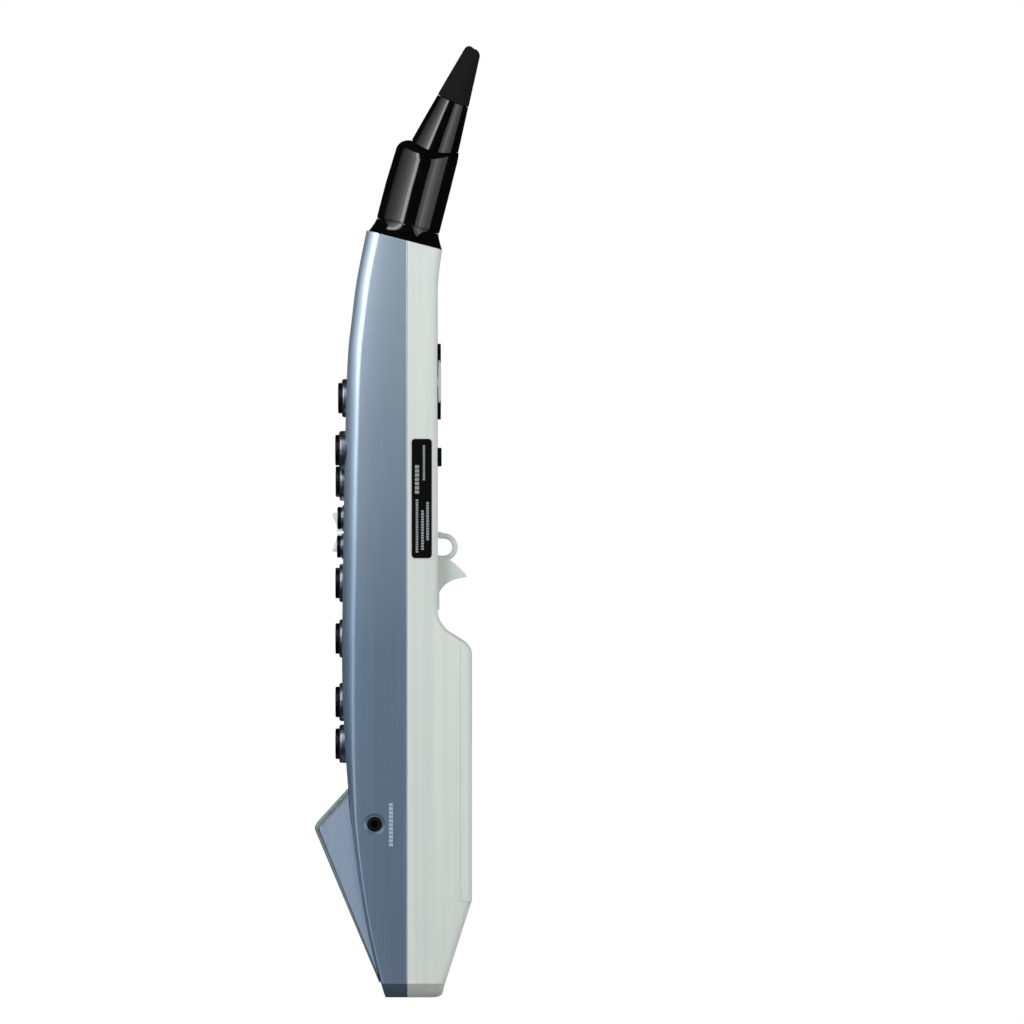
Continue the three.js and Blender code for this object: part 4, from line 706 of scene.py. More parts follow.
def half_width_at(height):
    full = value_at(WIDTH_EDGE, height)
    if height >= FOOT_ARC_HEIGHT:
        return full
    return min(full, sqrt(FOOT_ARC_RADIUS ** 2 - (FOOT_ARC_CENTRE - max(height, 0)) ** 2))


def arc(x, y, radius, start, sweep=pi / 2, steps=CORNER_STEPS):
    angles = [start + sweep * step / steps for step in range(steps + 1)]
    return [(x + radius * cos(angle), y + radius * sin(angle)) for angle in angles]


def corner_radii(height, half, growth):
    roundest = half * CORNER_LIMIT_SHARE
    front = min(value_at(FRONT_CORNER_EDGE, height) + growth, roundest)
    return max(front, GAP), min(REAR_CORNER + growth, roundest)


def body_section(height, growth, side=None):
    """The outline at a height, whole or of one half, from the points of its right-hand side."""
    half = half_width_at(height) + growth
    front = front_at(height) + growth
    rear = rear_at(height) + growth
    front_round, rear_round = corner_radii(height, half, growth)
    if side == FRONT_HALF:
        right = seam_edge(half, FRONT_SEAM_ROUND, side)
        right += arc(half - front_round, front_round - front, front_round, 0, -pi / 2)
    elif side == REAR_HALF:
        right = seam_edge(half, REAR_SEAM_ROUND, side)
        right += arc(half - rear_round, rear - rear_round, rear_round, 0)
    else:
        right = arc(half - front_round, front_round - front, front_round, -pi / 2)
        right += arc(half - rear_round, rear - rear_round, rear_round, 0)
    left = [(-x, y) for x, y in reversed(right)]
    return [Vector((x, y, height)) for x, y in right + left]


def seam_edge(half, edge, side):
    """The rounded edge of one half where it meets the other."""
    return arc(half - edge, side * (SHELL_GAP / 2 + edge), edge, -side * pi / 2, side * pi / 2, SEAM_STEPS)


def body_levels():
    """Heights of the body's sections, closer together where its outline bends more."""
    ends = (0, FOOT_ARC_HEIGHT, SLOPE_TOP - GAP, SLOPE_TOP, HUMP_LOW, HUMP_HIGH, FLARE_START,
            BODY_HEIGHT + BODY_RUN_OUT)
    steps = (FINE_LEVEL_STEP, LEVEL_STEP, GAP, LEVEL_STEP, FINE_LEVEL_STEP, LEVEL_STEP, LEVEL_STEP)
    levels = []
    for low, high, step in zip(ends, ends[1:], steps):
        count = max(round((high - low) / step), 1)
        levels += [low + (high - low) * i / count for i in range(count)]
    return levels + [ends[-1]]


def body_loft(growth, side=None):
    """The body grown by a distance: whole, or only the half on one side of its seam."""
    levels = [height for height in body_levels() if growth >= 0 or height > GAP - growth]
    if growth < 0:
        levels.insert(0, -growth)
    return loft([body_section(height, growth, side) for height in levels])


def body_film(low, high):
    """The space between two distances over the body's outside."""
    return without(body_loft(high), [body_loft(low)])


# Neck frame: origin at the middle of the body's slanted top face, Z along the mouthpiece
NECK_FRAME = Matrix.Translation((0, NECK_SEAT_DEPTH, NECK_SEAT_HEIGHT)) @ Matrix.Rotation(-NECK_LEAN, 4, "X")
NECK_AXIS = (NECK_FRAME.to_3x3() @ UPWARD).normalized()


def neck_point(along, across=0):
    return NECK_FRAME @ Vector((0, across, along))


def moved(thing, matrix):
    thing.data.transform(matrix)
    return thing


def above_neck_seat(lift):
    return moved(block((-FAR_REACH, -FAR_REACH, lift), (FAR_REACH, FAR_REACH, FAR_REACH)), NECK_FRAME)


def body_slab(low_depth, high_depth, low=-OVERRUN, high=BODY_HEIGHT + SEAM_REACH):
    return block((-SEAM_REACH, low_depth, low), (SEAM_REACH, high_depth, high))


def inner_body():
    return without(body_loft(-WALL), [above_neck_seat(-WALL)])


def neck_socket():
    length = TENON_LENGTH + GAP * 2
    return rod(TENON_RADIUS + GAP, neck_point(WALL - length), NECK_AXIS, length)


# Materials
def linear(colour):
    """Turn sRGB shares into linear light, by the standard's formula."""
    return [((c + 0.055) / 1.055) ** 2.4 if c > 0.04045 else c / 12.92 for c in colour]


def opaque(colour):
    return (*linear(colour), 1)


def add_node(tree, kind, values=None, **settings):
    """Add a shader node and set its inputs, each to a value or linked to another node's output."""
    made = tree.nodes.new("ShaderNode" + kind)
    for key, setting in settings.items():
        setattr(made, key, setting)
    set_inputs(tree, made, values or {})
    return made


def set_inputs(tree, target, values):
    for key, value in values.items():
        if isinstance(value, bpy.types.NodeSocket):
            tree.links.new(value, target.inputs[key])
        else:
            target.inputs[key].default_value = value


def surface(dark, light, roughness, grain, metallic=0.0, bump=0.0, bump_scale=BUMP_SCALE,
            specular=PLAIN_GLOSS, painted_light_top_colour=None):
    """A plastic or metal with a procedural grain, and, where it has one, a second, paler colour over its top
    as painted light.
    """
    material = bpy.data.materials.new("surface")
    material.use_nodes = True
    tree = material.node_tree
    place = add_node(tree, "TexCoord").outputs["Object"]
    mapping = add_node(tree, "Mapping", {"Vector": place, "Scale": grain})
    noise = add_node(tree, "TexNoise", {
        "Vector": mapping.outputs["Vector"], "Scale": 1.0, "Detail": GRAIN_DETAIL,
        "Roughness": GRAIN_ROUGHNESS})
    colours = add_node(tree, "ValToRGB", {"Fac": noise.outputs["Fac"]})
    for element, position, shade in zip(colours.color_ramp.elements, GRAIN_ENDS, (dark, light)):
        element.position = position
        element.color = opaque(shade)
    shine = add_node(tree, "MapRange", {
        "Value": noise.outputs["Fac"], "To Min": roughness[0], "To Max": roughness[1]})
    colour = colours.outputs["Color"]
    if painted_light_top_colour:
        colour = painted_light_fade(tree, colour, painted_light_top_colour, place)
    values = {
        "Base Color": colour, "Roughness": shine.outputs["Result"], "Metallic": metallic,
        "Specular IOR Level": specular}
    if bump:
        grit = add_node(tree, "TexNoise", {"Vector": place, "Scale": bump_scale, "Detail": BUMP_DETAIL})
        relief = add_node(tree, "Bump", {
            "Height": grit.outputs["Fac"], "Strength": bump, "Distance": BUMP_DEPTH})
        values["Normal"] = relief.outputs["Normal"]
    set_inputs(tree, tree.nodes["Principled BSDF"], values)
    return material


def painted_light_fade(tree, colour, painted_light_top_colour, place):
    """Painted light: a colour that turns into another, paler one over a stretch of the body's height,
    standing in for brighter light higher up.
    """
    low, high = ((height - RING_PLACE.z) * MILLIMETRE for height in PAINTED_LIGHT_HEIGHTS)
    parts = add_node(tree, "SeparateXYZ", {"Vector": place})
    share = add_node(tree, "MapRange", {
        "Value": parts.outputs["Z"], "From Min": low, "From Max": high, "To Max": PAINTED_LIGHT_SHARE})
    mix = add_node(tree, "Mix", {
        "Factor": share.outputs["Result"], "A": colour, "B": opaque(painted_light_top_colour)}, data_type="RGBA")
    return mix.outputs["Result"]


# The looks: a darker and a lighter colour, the two ends of the roughness and the grain
finishes = {
    # The blue shell's top colour is painted light: its upper part is painted paler where more light falls
    "blue_shell": surface(
        (0.565, 0.665, 0.775), (0.595, 0.695, 0.805), (0.28, 0.36), STREAKS, metallic=0.75,
        bump=0.1, bump_scale=2600.0, painted_light_top_colour=(0.82, 0.9, 0.975)),
    # A paler copy of the blue shell's paint for the horn's side: painted light, for the brighter light that
    # side catches
    "pale_blue_shell": surface(
        (0.73, 0.82, 0.93), (0.76, 0.85, 0.96), (0.32, 0.4), STREAKS, metallic=0.7,
        bump=0.1, bump_scale=2600.0),
    "grey_shell": surface(
        (0.76, 0.785, 0.765), (0.8, 0.825, 0.805), (0.42, 0.56), BROAD_STREAKS, bump=0.15,
        bump_scale=1800.0),
    "thumb_parts": surface((0.75, 0.78, 0.76), (0.8, 0.83, 0.81), (0.4, 0.52), SPECKLE, bump=0.1),
    "gloss_black": surface(
        (0.02, 0.02, 0.022), (0.035, 0.035, 0.038), (0.06, 0.12), GLOSS_GRAIN, specular=0.65),
    "lip_black": surface(
        (0.075, 0.075, 0.075), (0.1, 0.1, 0.1), (0.75, 0.9), SPECKLE, bump=0.5,
        bump_scale=2200.0, specular=0.1),
    "key_black": surface(
        (0.018, 0.02, 0.024), (0.032, 0.034, 0.038), (0.25, 0.4), KEY_GRAIN, specular=0.2,
        bump=0.1, bump_scale=2500.0),
    "bezel_blue": surface((0.5, 0.54, 0.6), (0.58, 0.62, 0.68), (0.24, 0.34), LARGE_GRAIN, metallic=0.95),
    "frost": surface((0.86, 0.88, 0.9), (0.92, 0.94, 0.95), (0.3, 0.45), MEDIUM_GRAIN, bump=0.1),
    "label_black": surface((0.012, 0.014, 0.014), (0.02, 0.023, 0.023), (0.4, 0.55), SPECKLE, specular=0.1),
    "grille_dark": surface(
        (0.43, 0.5, 0.51), (0.51, 0.58, 0.59), (0.26, 0.38), MEDIUM_GRAIN, metallic=0.4,
        bump=0.1, bump_scale=2400.0),
    "steel": surface((0.35, 0.35, 0.35), (0.5, 0.5, 0.5), (0.25, 0.45), FINE_GRAIN, metallic=1.0),
    "dark_steel": surface((0.13, 0.15, 0.145), (0.22, 0.24, 0.235), (0.3, 0.5), FINE_GRAIN, metallic=0.8),
    "inner_black": surface((0.02, 0.023, 0.023), (0.045, 0.05, 0.05), (0.4, 0.6), SPECKLE, specular=0.2),
    "board_green": surface((0.06, 0.24, 0.13), (0.1, 0.32, 0.18), (0.3, 0.5), MEDIUM_GRAIN),
    "cell_skin": surface((0.3, 0.32, 0.35), (0.38, 0.4, 0.43), (0.25, 0.4), CELL_STREAKS, metallic=0.5),
    "cone_paper": surface((0.08, 0.08, 0.08), (0.14, 0.14, 0.14), (0.8, 0.95), SPECKLE, bump=0.4),
    "soft_tube": surface((0.8, 0.81, 0.8), (0.87, 0.88, 0.87), (0.3, 0.45), LARGE_GRAIN),
    "print": surface((0.48, 0.5, 0.51), (0.58, 0.6, 0.61), (0.4, 0.55), SPECKLE),
    "dark_print": surface((0.3, 0.32, 0.32), (0.38, 0.4, 0.4), (0.4, 0.55), SPECKLE),
    "blue_print": surface((0.56, 0.63, 0.71), (0.64, 0.71, 0.79), (0.4, 0.55), SPECKLE),
}
for name, material in finishes.items():
    material.name = name


def finish(thing, name, body, slot, *nodes, look=None):
    """Name a piece, move it to the record's frame, smooth it, dress it and let it ride on its body."""
    thing.name = name
    thing.data.name = name
    thing.data.transform(PLACE)
    thing.data.shade_smooth()
    thing.data.set_sharp_from_angle(angle=SHARP_ANGLE)
    thing.data.materials.clear()
    thing.data.materials.append(finishes[look or slot])
    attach(thing, body)
    if nodes:
        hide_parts(*nodes)


# Keys: each takes its place and its depths from its nodes in the frame
def key_layers(number):
    """A key's place in the front view, and the depths and sizes of its cap and bezel."""
    low, high = body_box(f"key_cap_{number}")
    bezel_low, bezel_high = body_box(f"key_bezel_{number}")
    middle = (low + high) / 2
    return SimpleNamespace(
        at=(middle.x, middle.z), cap_face=-low.y, cap_back=-high.y, bezel_face=-bezel_low.y,
        bezel_back=-bezel_high.y, bezel_radius=(bezel_high.x - bezel_low.x) / 2 - FLANGE_REACH,
        bore=LARGE_BORE if number in LARGE_KEYS else SMALL_BORE)


def small_key_ring(key):
    """The profile of the pale ring round a small key's cap: its inner and outer radius and its two ends."""
    outer = key.bore - KEY_PLAY
    high = key.cap_face - key.cap_back - SMALL_KEY_RIM
    return outer - SMALL_RING_WIDTH, outer, FLANGE_THICKNESS, high


def small_cap(key):
    inner, outer, low, high = small_key_ring(key)
    room = [(inner, low), (outer + OVERRUN, low), (outer + OVERRUN, high), (inner, high), (inner, low)]
    return without(key_cap(key), [turned(room, front_point(key.at, key.cap_back), FRONTWARD)])


def small_ring(key):
    inner, outer, low, high = small_key_ring(key)
    inner += PRINT_RISE
    start = low + PRINT_RISE
    end = high - PRINT_RISE
    edge = SMALL_RING_ROUND
    corners = [(inner, start), (outer, start, edge), (outer, end, edge), (inner, end)]
    return turned_ring(corners, front_point(key.at, key.cap_back), FRONTWARD)


def key_bezel(key):
    top = key.bezel_face - key.bezel_back
    radius = key.bezel_radius
    flange = radius + FLANGE_REACH
    bore = key.bore
    edge = min(BEZEL_ROUND, (radius - bore) * CORNER_LIMIT_SHARE - BORE_ROUND)
    corners = [
        (bore, 0), (flange, 0), (flange, FLANGE_THICKNESS), (radius, FLANGE_THICKNESS), (radius, top, edge),
        (bore, top, min(BORE_ROUND, edge)),
    ]
    return turned_ring(corners, front_point(key.at, key.bezel_back), FRONTWARD)


def flanged(radius, flange, thickness, top, edge):
    """Corners of a round button that stands on a wider flange, up to the edge of its top."""
    return [(0, 0), (flange, 0), (flange, thickness), (radius, thickness), (radius, top, edge)]


def key_cap(key):
    top = key.cap_face - key.cap_back
    radius = key.bore - KEY_PLAY
    flange = key.bore + FLANGE_REACH
    dish = radius - KEY_ROUND * 2
    corners = flanged(radius, flange, FLANGE_THICKNESS, top, KEY_ROUND) + [(dish, top)]
    profile = rounded(corners, closed=False)
    for step in range(1, CURVE_STEPS + 1):
        share = step / CURVE_STEPS
        profile.append((dish * (1 - share), top - KEY_DISH * (1 - (1 - share) ** 2)))
    return turned(profile, front_point(key.at, key.cap_back), FRONTWARD)


def key_seat_cuts(key):
    seat = front_at(key.at[1]) - WALL
    radius = key.bezel_radius
    return [
        rod(radius + GAP, front_point(key.at, seat - WALL), FRONTWARD, OVERRUN, TURNS),
        rod(radius + FLANGE_REACH + GAP, front_point(key.at, seat - WALL), FRONTWARD, WALL, TURNS),
    ]


# Paddles beside the small keys
def paddle(name, sign):
    low, high = body_box(name)
    seat = -high.y + PADDLE_LIP_THICKNESS
    far = (high.z if sign > 0 else low.z) - sign * FLANGE_REACH
    near = low.z if sign > 0 else high.z
    inner = low.y + PADDLE_INNER_DROP
    top = [(low.y + PADDLE_ROUND, far), (low.y, far - sign * PADDLE_ROUND * 2)]
    top += quadratic(top[-1], (inner, lerp(near, far, PADDLE_BEND_SHARE)), (inner, near))
    outline = [(high.y, near), (high.y, far)] + top
    face = bevelled(side_prism(outline, low.x, high.x - FLANGE_REACH), PADDLE_ROUND)
    end = far + sign * FLANGE_REACH
    lip = block((low.x, -seat, min(near, end)), (high.x, high.y, max(near, end)))
    return joined([face, lip])


def paddle_cuts():
    low = body_box("side_key_lower")[0]
    high = body_box("side_key_upper")[1]
    seat = -high.y + PADDLE_LIP_THICKNESS + GAP
    window = block(
        (low.x - GAP, -FRONT_DEPTH - OVERRUN, low.z + FLANGE_REACH - GAP),
        (high.x - FLANGE_REACH + GAP, GAP - seat, high.z - FLANGE_REACH + GAP))
    room = block((low.x - GAP, -seat, low.z - GAP), (high.x + GAP, 0, high.z + GAP))
    return [window, room]


# Openings in the sides
def left_block(inner, outer, depth_half, low, high):
    return block(
        (-outer, -SIDE_CONTROL_DEPTH - depth_half, low), (-inner, -SIDE_CONTROL_DEPTH + depth_half, high))


def usb_outline(growth):
    half_length = USB_HALF_LENGTH + growth
    half_width = USB_HALF_WIDTH + growth
    return rounded_box(
        -SIDE_CONTROL_DEPTH - half_width, -SIDE_CONTROL_DEPTH + half_width, USB_HEIGHT - half_length,
        USB_HEIGHT + half_length, USB_ROUND + growth)


def jack_point(across):
    return Vector((across, -JACK_DEPTH, JACK_HEIGHT))


def side_cuts():
    cone = [(0, 0), (JACK_RECESS_RADIUS - JACK_RECESS_SLOPE, 0), (JACK_RECESS_RADIUS, JACK_RECESS),
            (JACK_RECESS_RADIUS, OVERRUN), (0, OVERRUN)]
    half = SLIDE_HALF + GAP
    return [
        rod(JACK_NOZZLE + GAP, jack_point(0), RIGHTWARD, SEAM_REACH, TURNS),
        turned(cone, jack_point(half_width_at(JACK_HEIGHT) - JACK_RECESS), RIGHTWARD),
        side_prism(usb_outline(GAP), -SEAM_REACH, 0),
        rod(POWER_RADIUS + GAP, Vector((0, -SIDE_CONTROL_DEPTH, POWER_HEIGHT)), LEFTWARD, SEAM_REACH),
        left_block(0, SEAM_REACH, half, SLIDE_HEIGHT - half - SLIDE_TRAVEL, SLIDE_HEIGHT + half),
    ]


def front_shell():
    half = without(body_loft(0, FRONT_HALF), [above_neck_seat(0)])
    cuts = [inner_body()] + paddle_cuts() + side_cuts() + [horn_opening(), neck_socket()]
    for number in LARGE_KEYS + SMALL_KEYS:
        cuts += key_seat_cuts(key_layers(number))
    return without(half, cuts)


# Rear shell and battery door
def door_space(play):
    return body_slab(DOOR_SEAM + play, DOOR_DEPTH + OVERRUN, DOOR_BOTTOM + play)


def well_bore(place, seat, pilot):
    return joined([
        rod(WELL_RADIUS, rear_point(place, seat), REARWARD, DOOR_DEPTH + OVERRUN, TURNS),
        rod(pilot, rear_point(place, -OVERRUN), REARWARD, DOOR_DEPTH + OVERRUN),
    ])


def post(place, start):
    return rod(WELL_RADIUS + WELL_WALL, rear_point(place, start), REARWARD, DOOR_DEPTH)


def crescent(sign, growth, low_depth, high_depth):
    height = high_depth - low_depth
    rest_x, rest_z = THUMB_REST_PLACE
    moon = rod(
        OCTAVE_RADIUS + growth, rear_point((OCTAVE_OFFSET, rest_z + sign * OCTAVE_SPREAD), low_depth),
        REARWARD, height, TURNS)
    rest = rod(
        THUMB_REST_RADIUS + OCTAVE_SPLIT - growth, rear_point((rest_x, rest_z), low_depth - WALL),
        REARWARD, height + WALL * 2, TURNS)
    limit = rest_z + sign * (OCTAVE_TIP - growth)
    room = block(
        (-SEAM_REACH, low_depth - WALL, min(limit, limit + sign * OVERRUN)),
        (OCTAVE_REACH + growth, high_depth + WALL, max(limit, limit + sign * OVERRUN)))
    return within(without(moon, [rest]), room)


def rear_shell():
    half = without(body_loft(0, REAR_HALF), [above_neck_seat(0)])
    wells = [place[1:] for place in SCREW_PLACES]
    neck_well = (0, NECK_SCREW_HEIGHT)
    posts = [post(place, GAP / 2) for place in wells]
    posts += [post(place, NECK_WELL_SEAT - WALL) for place in (neck_well, DRAIN_PLACE)]
    cuts = [without(inner_body(), posts), door_space(0)]
    cuts += [well_bore(place, SCREW_SEAT, PILOT_RADIUS) for place in wells]
    cuts += [well_bore(neck_well, NECK_WELL_SEAT, PILOT_RADIUS)]
    cuts += [well_bore(DRAIN_PLACE, NECK_WELL_SEAT, DRAIN_BORE)]
    cuts += [crescent(sign, KEY_PLAY, 0, DOOR_DEPTH) for sign in (UPPER, LOWER)]
    cuts += [rod(FUNCTION_RADIUS + KEY_PLAY, Vector((0, 0, FUNCTION_HEIGHT)), REARWARD, DOOR_DEPTH, TURNS)]
    groove_in, groove_out = (THUMB_REST_RADIUS + reach for reach in REST_GROOVE)
    groove = [(groove_in, 0), (groove_out, 0), (groove_out, WALL), (groove_in, WALL), (groove_in, 0)]
    groove_start = rear_point(THUMB_REST_PLACE, NECK_DEPTH - REST_GROOVE_DEPTH)
    return without(half, cuts + [turned(groove, groove_start, REARWARD), neck_socket()])


def label_outline(growth):
    half = LABEL_WIDTH / 2 + growth
    top = LABEL_TOP + growth
    return rounded_box(-half, half, LABEL_TOP - LABEL_LENGTH - growth, top, LABEL_CORNER + growth)


def battery_door():
    hollow = without(inner_body(), [body_slab(0, DOOR_DEPTH, -OVERRUN, DOOR_BOTTOM + WALL)])
    door = within(body_loft(0, REAR_HALF), door_space(DOOR_GAP))
    door = bevelled(door, DOOR_EDGE, DOOR_EDGE_STEPS, BLUNT_ANGLE)
    pocket = rear_prism(
        label_outline(LABEL_GAP * 2), DOOR_DEPTH - LABEL_THICKNESS - LABEL_GAP, DOOR_DEPTH + OVERRUN)
    return without(door, [hollow, pocket] + engraving())


def engraving():
    """An arrow head over two bars, sunk into the lower end of the door."""
    floor_depth = DOOR_DEPTH - ENGRAVING_DEPTH
    outside = DOOR_DEPTH * 2
    low, high = (DOOR_BOTTOM + rise for rise in ENGRAVED_ARROW)
    left = -ENGRAVING_PLACE - ENGRAVING_HALF
    right = -ENGRAVING_PLACE + ENGRAVING_HALF
    shapes = [rear_prism([(left, low), (right, low), (-ENGRAVING_PLACE, high)], floor_depth, outside)]
    for rise in ENGRAVED_BARS:
        middle = DOOR_BOTTOM + rise
        shapes.append(block(
            (left, floor_depth, middle - ENGRAVED_BAR_HALF), (right, outside, middle + ENGRAVED_BAR_HALF)))
    return shapes


def battery_label():
    return rear_prism(label_outline(0), DOOR_DEPTH - LABEL_THICKNESS, DOOR_DEPTH - PRINT_RISE)


def side_label():
    outline = rounded_box(
        SIDE_LABEL_START, SIDE_LABEL_START + SIDE_LABEL_WIDTH, SIDE_LABEL_LOW,
        SIDE_LABEL_LOW + SIDE_LABEL_LENGTH, LABEL_CORNER)
    film = body_film(LABEL_GAP, LABEL_THICKNESS + LABEL_GAP)
    return within(film, side_prism(outline, 0, SEAM_REACH))


# Prints
def on_rear(left, right, low, high, face):
    """A thin box on a rear face, placed as it is seen from behind."""
    return (-right, face - PRINT_RISE * 2, low), (-left, face, high)


def digit(bars, place, middle, face):
    """A plain figure made of bars, as on a digital clock."""
    side = DIGIT_HALF_WIDTH
    top = DIGIT_HALF_HEIGHT
    inner = side - DIGIT_STROKE
    end = inner - DIGIT_GAP
    half = DIGIT_STROKE / 2
    spans = {
        "a": (-end, end, top - DIGIT_STROKE, top), "g": (-end, end, -half, half),
        "d": (-end, end, -top, DIGIT_STROKE - top),
        "b": (inner, side, DIGIT_GAP, top), "c": (inner, side, -top, -DIGIT_GAP),
        "f": (-side, -inner, DIGIT_GAP, top), "e": (-side, -inner, -top, -DIGIT_GAP),
    }
    parts = []
    for bar in bars:
        left, right, low, high = spans[bar]
        parts.append(on_rear(place + left, place + right, middle + low, middle + high, face))
    return parts


def letter_spans(start, end, pitch):
    """Stretches of a line that stand for its letters."""
    count = max(round((end - start) / pitch), 1)
    step = (end - start) / count
    return [(start + i * step, start + (i + LETTER_SHARE) * step) for i in range(count)]


def rear_line(start, end, middle, size, pitch=None, face=NECK_DEPTH + PRINT_RISE):
    return [on_rear(left, right, middle - size / 2, middle + size / 2, face)
            for left, right in letter_spans(start, end, pitch or size)]


def door_print():
    face = DOOR_DEPTH
    half = RULE_HALF_LENGTH
    parts = rear_line(-TITLE_LENGTH / 2, TITLE_LENGTH / 2, LABEL_TOP - TITLE_DROP, NOTE_SIZE, face=face)
    for drop in RULE_DROPS:
        middle = LABEL_TOP - drop
        parts.append(on_rear(-half, half, middle - RULE_HALF_THICKNESS, middle + RULE_HALF_THICKNESS, face))
    for n, (bars, count) in enumerate(zip(DIGIT_BARS, SIGN_COUNTS)):
        middle = LABEL_TOP - ROW_DROP - n * ROW_PITCH
        parts += digit(bars, DIGIT_PLACE, middle, face)
        parts += rear_line(ROW_START, ROW_START + count * SIGN_PITCH, middle, SIGN_SIZE, SIGN_PITCH, face)
    for drop, length in zip(NOTE_DROPS, NOTE_LENGTHS):
        parts += rear_line(-half, length - half, LABEL_TOP - drop, NOTE_SIZE, face=face)
    return blocks(parts)


def skin_print(lines, lift):
    """Rows of blocks on the body's right side, each given by its depth, its ends and its size."""
    parts = []
    for depth, start, end, size in lines:
        for low, high in letter_spans(start, end, size):
            parts.append(((0, depth - size / 2, low), (SEAM_REACH, depth + size / 2, high)))
    return within(body_film(lift - PRINT_RISE, lift + PRINT_RISE), blocks(parts))


def side_print():
    lines = [(depth, SIDE_LABEL_LOW + start, SIDE_LABEL_LOW + end, size)
             for depth, start, end, size in SIDE_LINES]
    return skin_print(lines, LABEL_THICKNESS + LABEL_GAP)


def jack_print():
    start = JACK_HEIGHT - JACK_MARK_LENGTH / 2
    line = (JACK_MARK_REACH - JACK_DEPTH, start, start + JACK_MARK_LENGTH, JACK_MARK_SIZE)
    return skin_print([line], 0)


def rear_print():
    half = FUNCTION_MARK_LENGTH / 2
    parts = [blocks(rear_line(-half, half, FUNCTION_HEIGHT + FUNCTION_MARK_RISE, FUNCTION_MARK_SIZE))]
    for place, rise, sign in OCTAVE_MARKS:
        base = THUMB_REST_PLACE[1] + rise - sign * OCTAVE_MARK_HALF
        outline = [(-place - OCTAVE_MARK_HALF, base), (-place + OCTAVE_MARK_HALF, base),
                   (-place, base + sign * OCTAVE_MARK_HALF * 2)]
        parts.append(rear_prism(outline, NECK_DEPTH - PRINT_RISE, NECK_DEPTH + PRINT_RISE))
    return joined(parts)


# Neck collar and mouthpiece
def collar_foot():
    """The collar's foot on the slanted top face: drawn in at the sides and front, flush with the rear."""
    foot = []
    for n, point in enumerate(body_section(NECK_SEAT_HEIGHT, -COLLAR_INSET)):
        for _ in range(SEAT_PASSES):
            height = NECK_SEAT_HEIGHT - (point.y - NECK_SEAT_DEPTH) * tan(NECK_LEAN)
            point = body_section(height, -COLLAR_INSET)[n]
        foot.append((
            point.x * COLLAR_WIDTH_SHARE, (point.y + COLLAR_INSET - NECK_SEAT_DEPTH) / cos(NECK_LEAN)))
    return foot


def finer_outline(outline, longest):
    """The same outline with points added, so that its straight stretches bend with the rest."""
    points = []
    for n, start in enumerate(outline):
        end = outline[(n + 1) % len(outline)]
        count = max(ceil(dist(start, end) / longest), 1)
        points += [tuple(lerp(a, b, i / count) for a, b in zip(start, end)) for i in range(count)]
    return points


def collar_ring(foot, share):
    """A ring of the collar that turns by a share from its foot into a circle."""
    flare = (1 - share) ** COLLAR_FLARE_POWER
    along = lerp(GAP, COLLAR_HEIGHT, share)
    ring = []
    for x, across in foot:
        angle = atan2(across, x)
        ring.append(NECK_FRAME @ Vector((
            lerp(COLLAR_ROUND * cos(angle), x, flare), lerp(COLLAR_ROUND * sin(angle), across, flare),
            along)))
    return ring


def neck_collar():
    foot = finer_outline(collar_foot(), COLLAR_EDGE_STEP)
    skirt = loft([collar_ring(foot, step / COLLAR_STEPS) for step in range(COLLAR_STEPS + 1)])
    tenon = rod(TENON_RADIUS, neck_point(-TENON_LENGTH), NECK_AXIS, TENON_LENGTH + GAP * 2)
    spigot = rod(SPIGOT_RADIUS, neck_point(COLLAR_HEIGHT - GAP), NECK_AXIS, SPIGOT_LENGTH)
    pipe = rod(AIR_PIPE_RADIUS, neck_point(-OVERRUN), NECK_AXIS, AIR_PIPE_LENGTH)
    return without(joined([skirt, tenon, spigot]), [pipe])


BARREL_START = COLLAR_HEIGHT + GAP
BARREL_TOP = BARREL_START + BARREL_LENGTH + SHOULDER_HEIGHT


def neck_ring(width, depth, centre, lift):
    ring = []
    for i in range(TURNS):
        angle = 2 * pi * i / TURNS
        ring.append(NECK_FRAME @ Vector((width * cos(angle), centre + depth * sin(angle), lift(angle))))
    return ring


def barrel_ring(radius, along, share=0, drop=0):
    """A circle that turns by a share into the outline of the beak's foot."""
    return neck_ring(
        lerp(radius, BEAK_BASE_HALF_WIDTH, share), lerp(radius, BEAK_BASE_HALF_DEPTH, share),
        BEAK_BASE_OFFSET * share, lambda angle: BARREL_START + along - drop * cos(angle) ** 2)


def barrel():
    groove = BARREL_RADIUS - BARREL_GROOVE
    lip = BARREL_GROOVE * 2
    rings = [barrel_ring(radius, along) for radius, along in (
        (groove, 0), (groove, BARREL_GROOVE), (BARREL_RADIUS - GAP, lip - GAP), (BARREL_RADIUS, lip),
        (BARREL_RADIUS, BARREL_TAPER_START))]
    for step in range(SHOULDER_STEPS + 1):
        angle = pi / 2 * step / SHOULDER_STEPS
        rings.append(barrel_ring(
            BARREL_RADIUS, BARREL_LENGTH + SHOULDER_HEIGHT * sin(angle),
            lerp(1, BARREL_TAPER_SHARE, cos(angle)), SHOULDER_DROP))
    seat = neck_point(BARREL_TOP - BEAK_PLUG_LENGTH - GAP, BEAK_BASE_OFFSET)
    return without(loft(rings), [
        rod(SPIGOT_RADIUS + GAP, neck_point(BARREL_START - GAP), NECK_AXIS, BARREL_SOCKET_DEPTH + GAP),
        rod(AIR_PIPE_RADIUS, neck_point(0), NECK_AXIS, OVERRUN * 2),
        rod(BEAK_PLUG_RADIUS + GAP, seat, NECK_AXIS, OVERRUN),
    ])


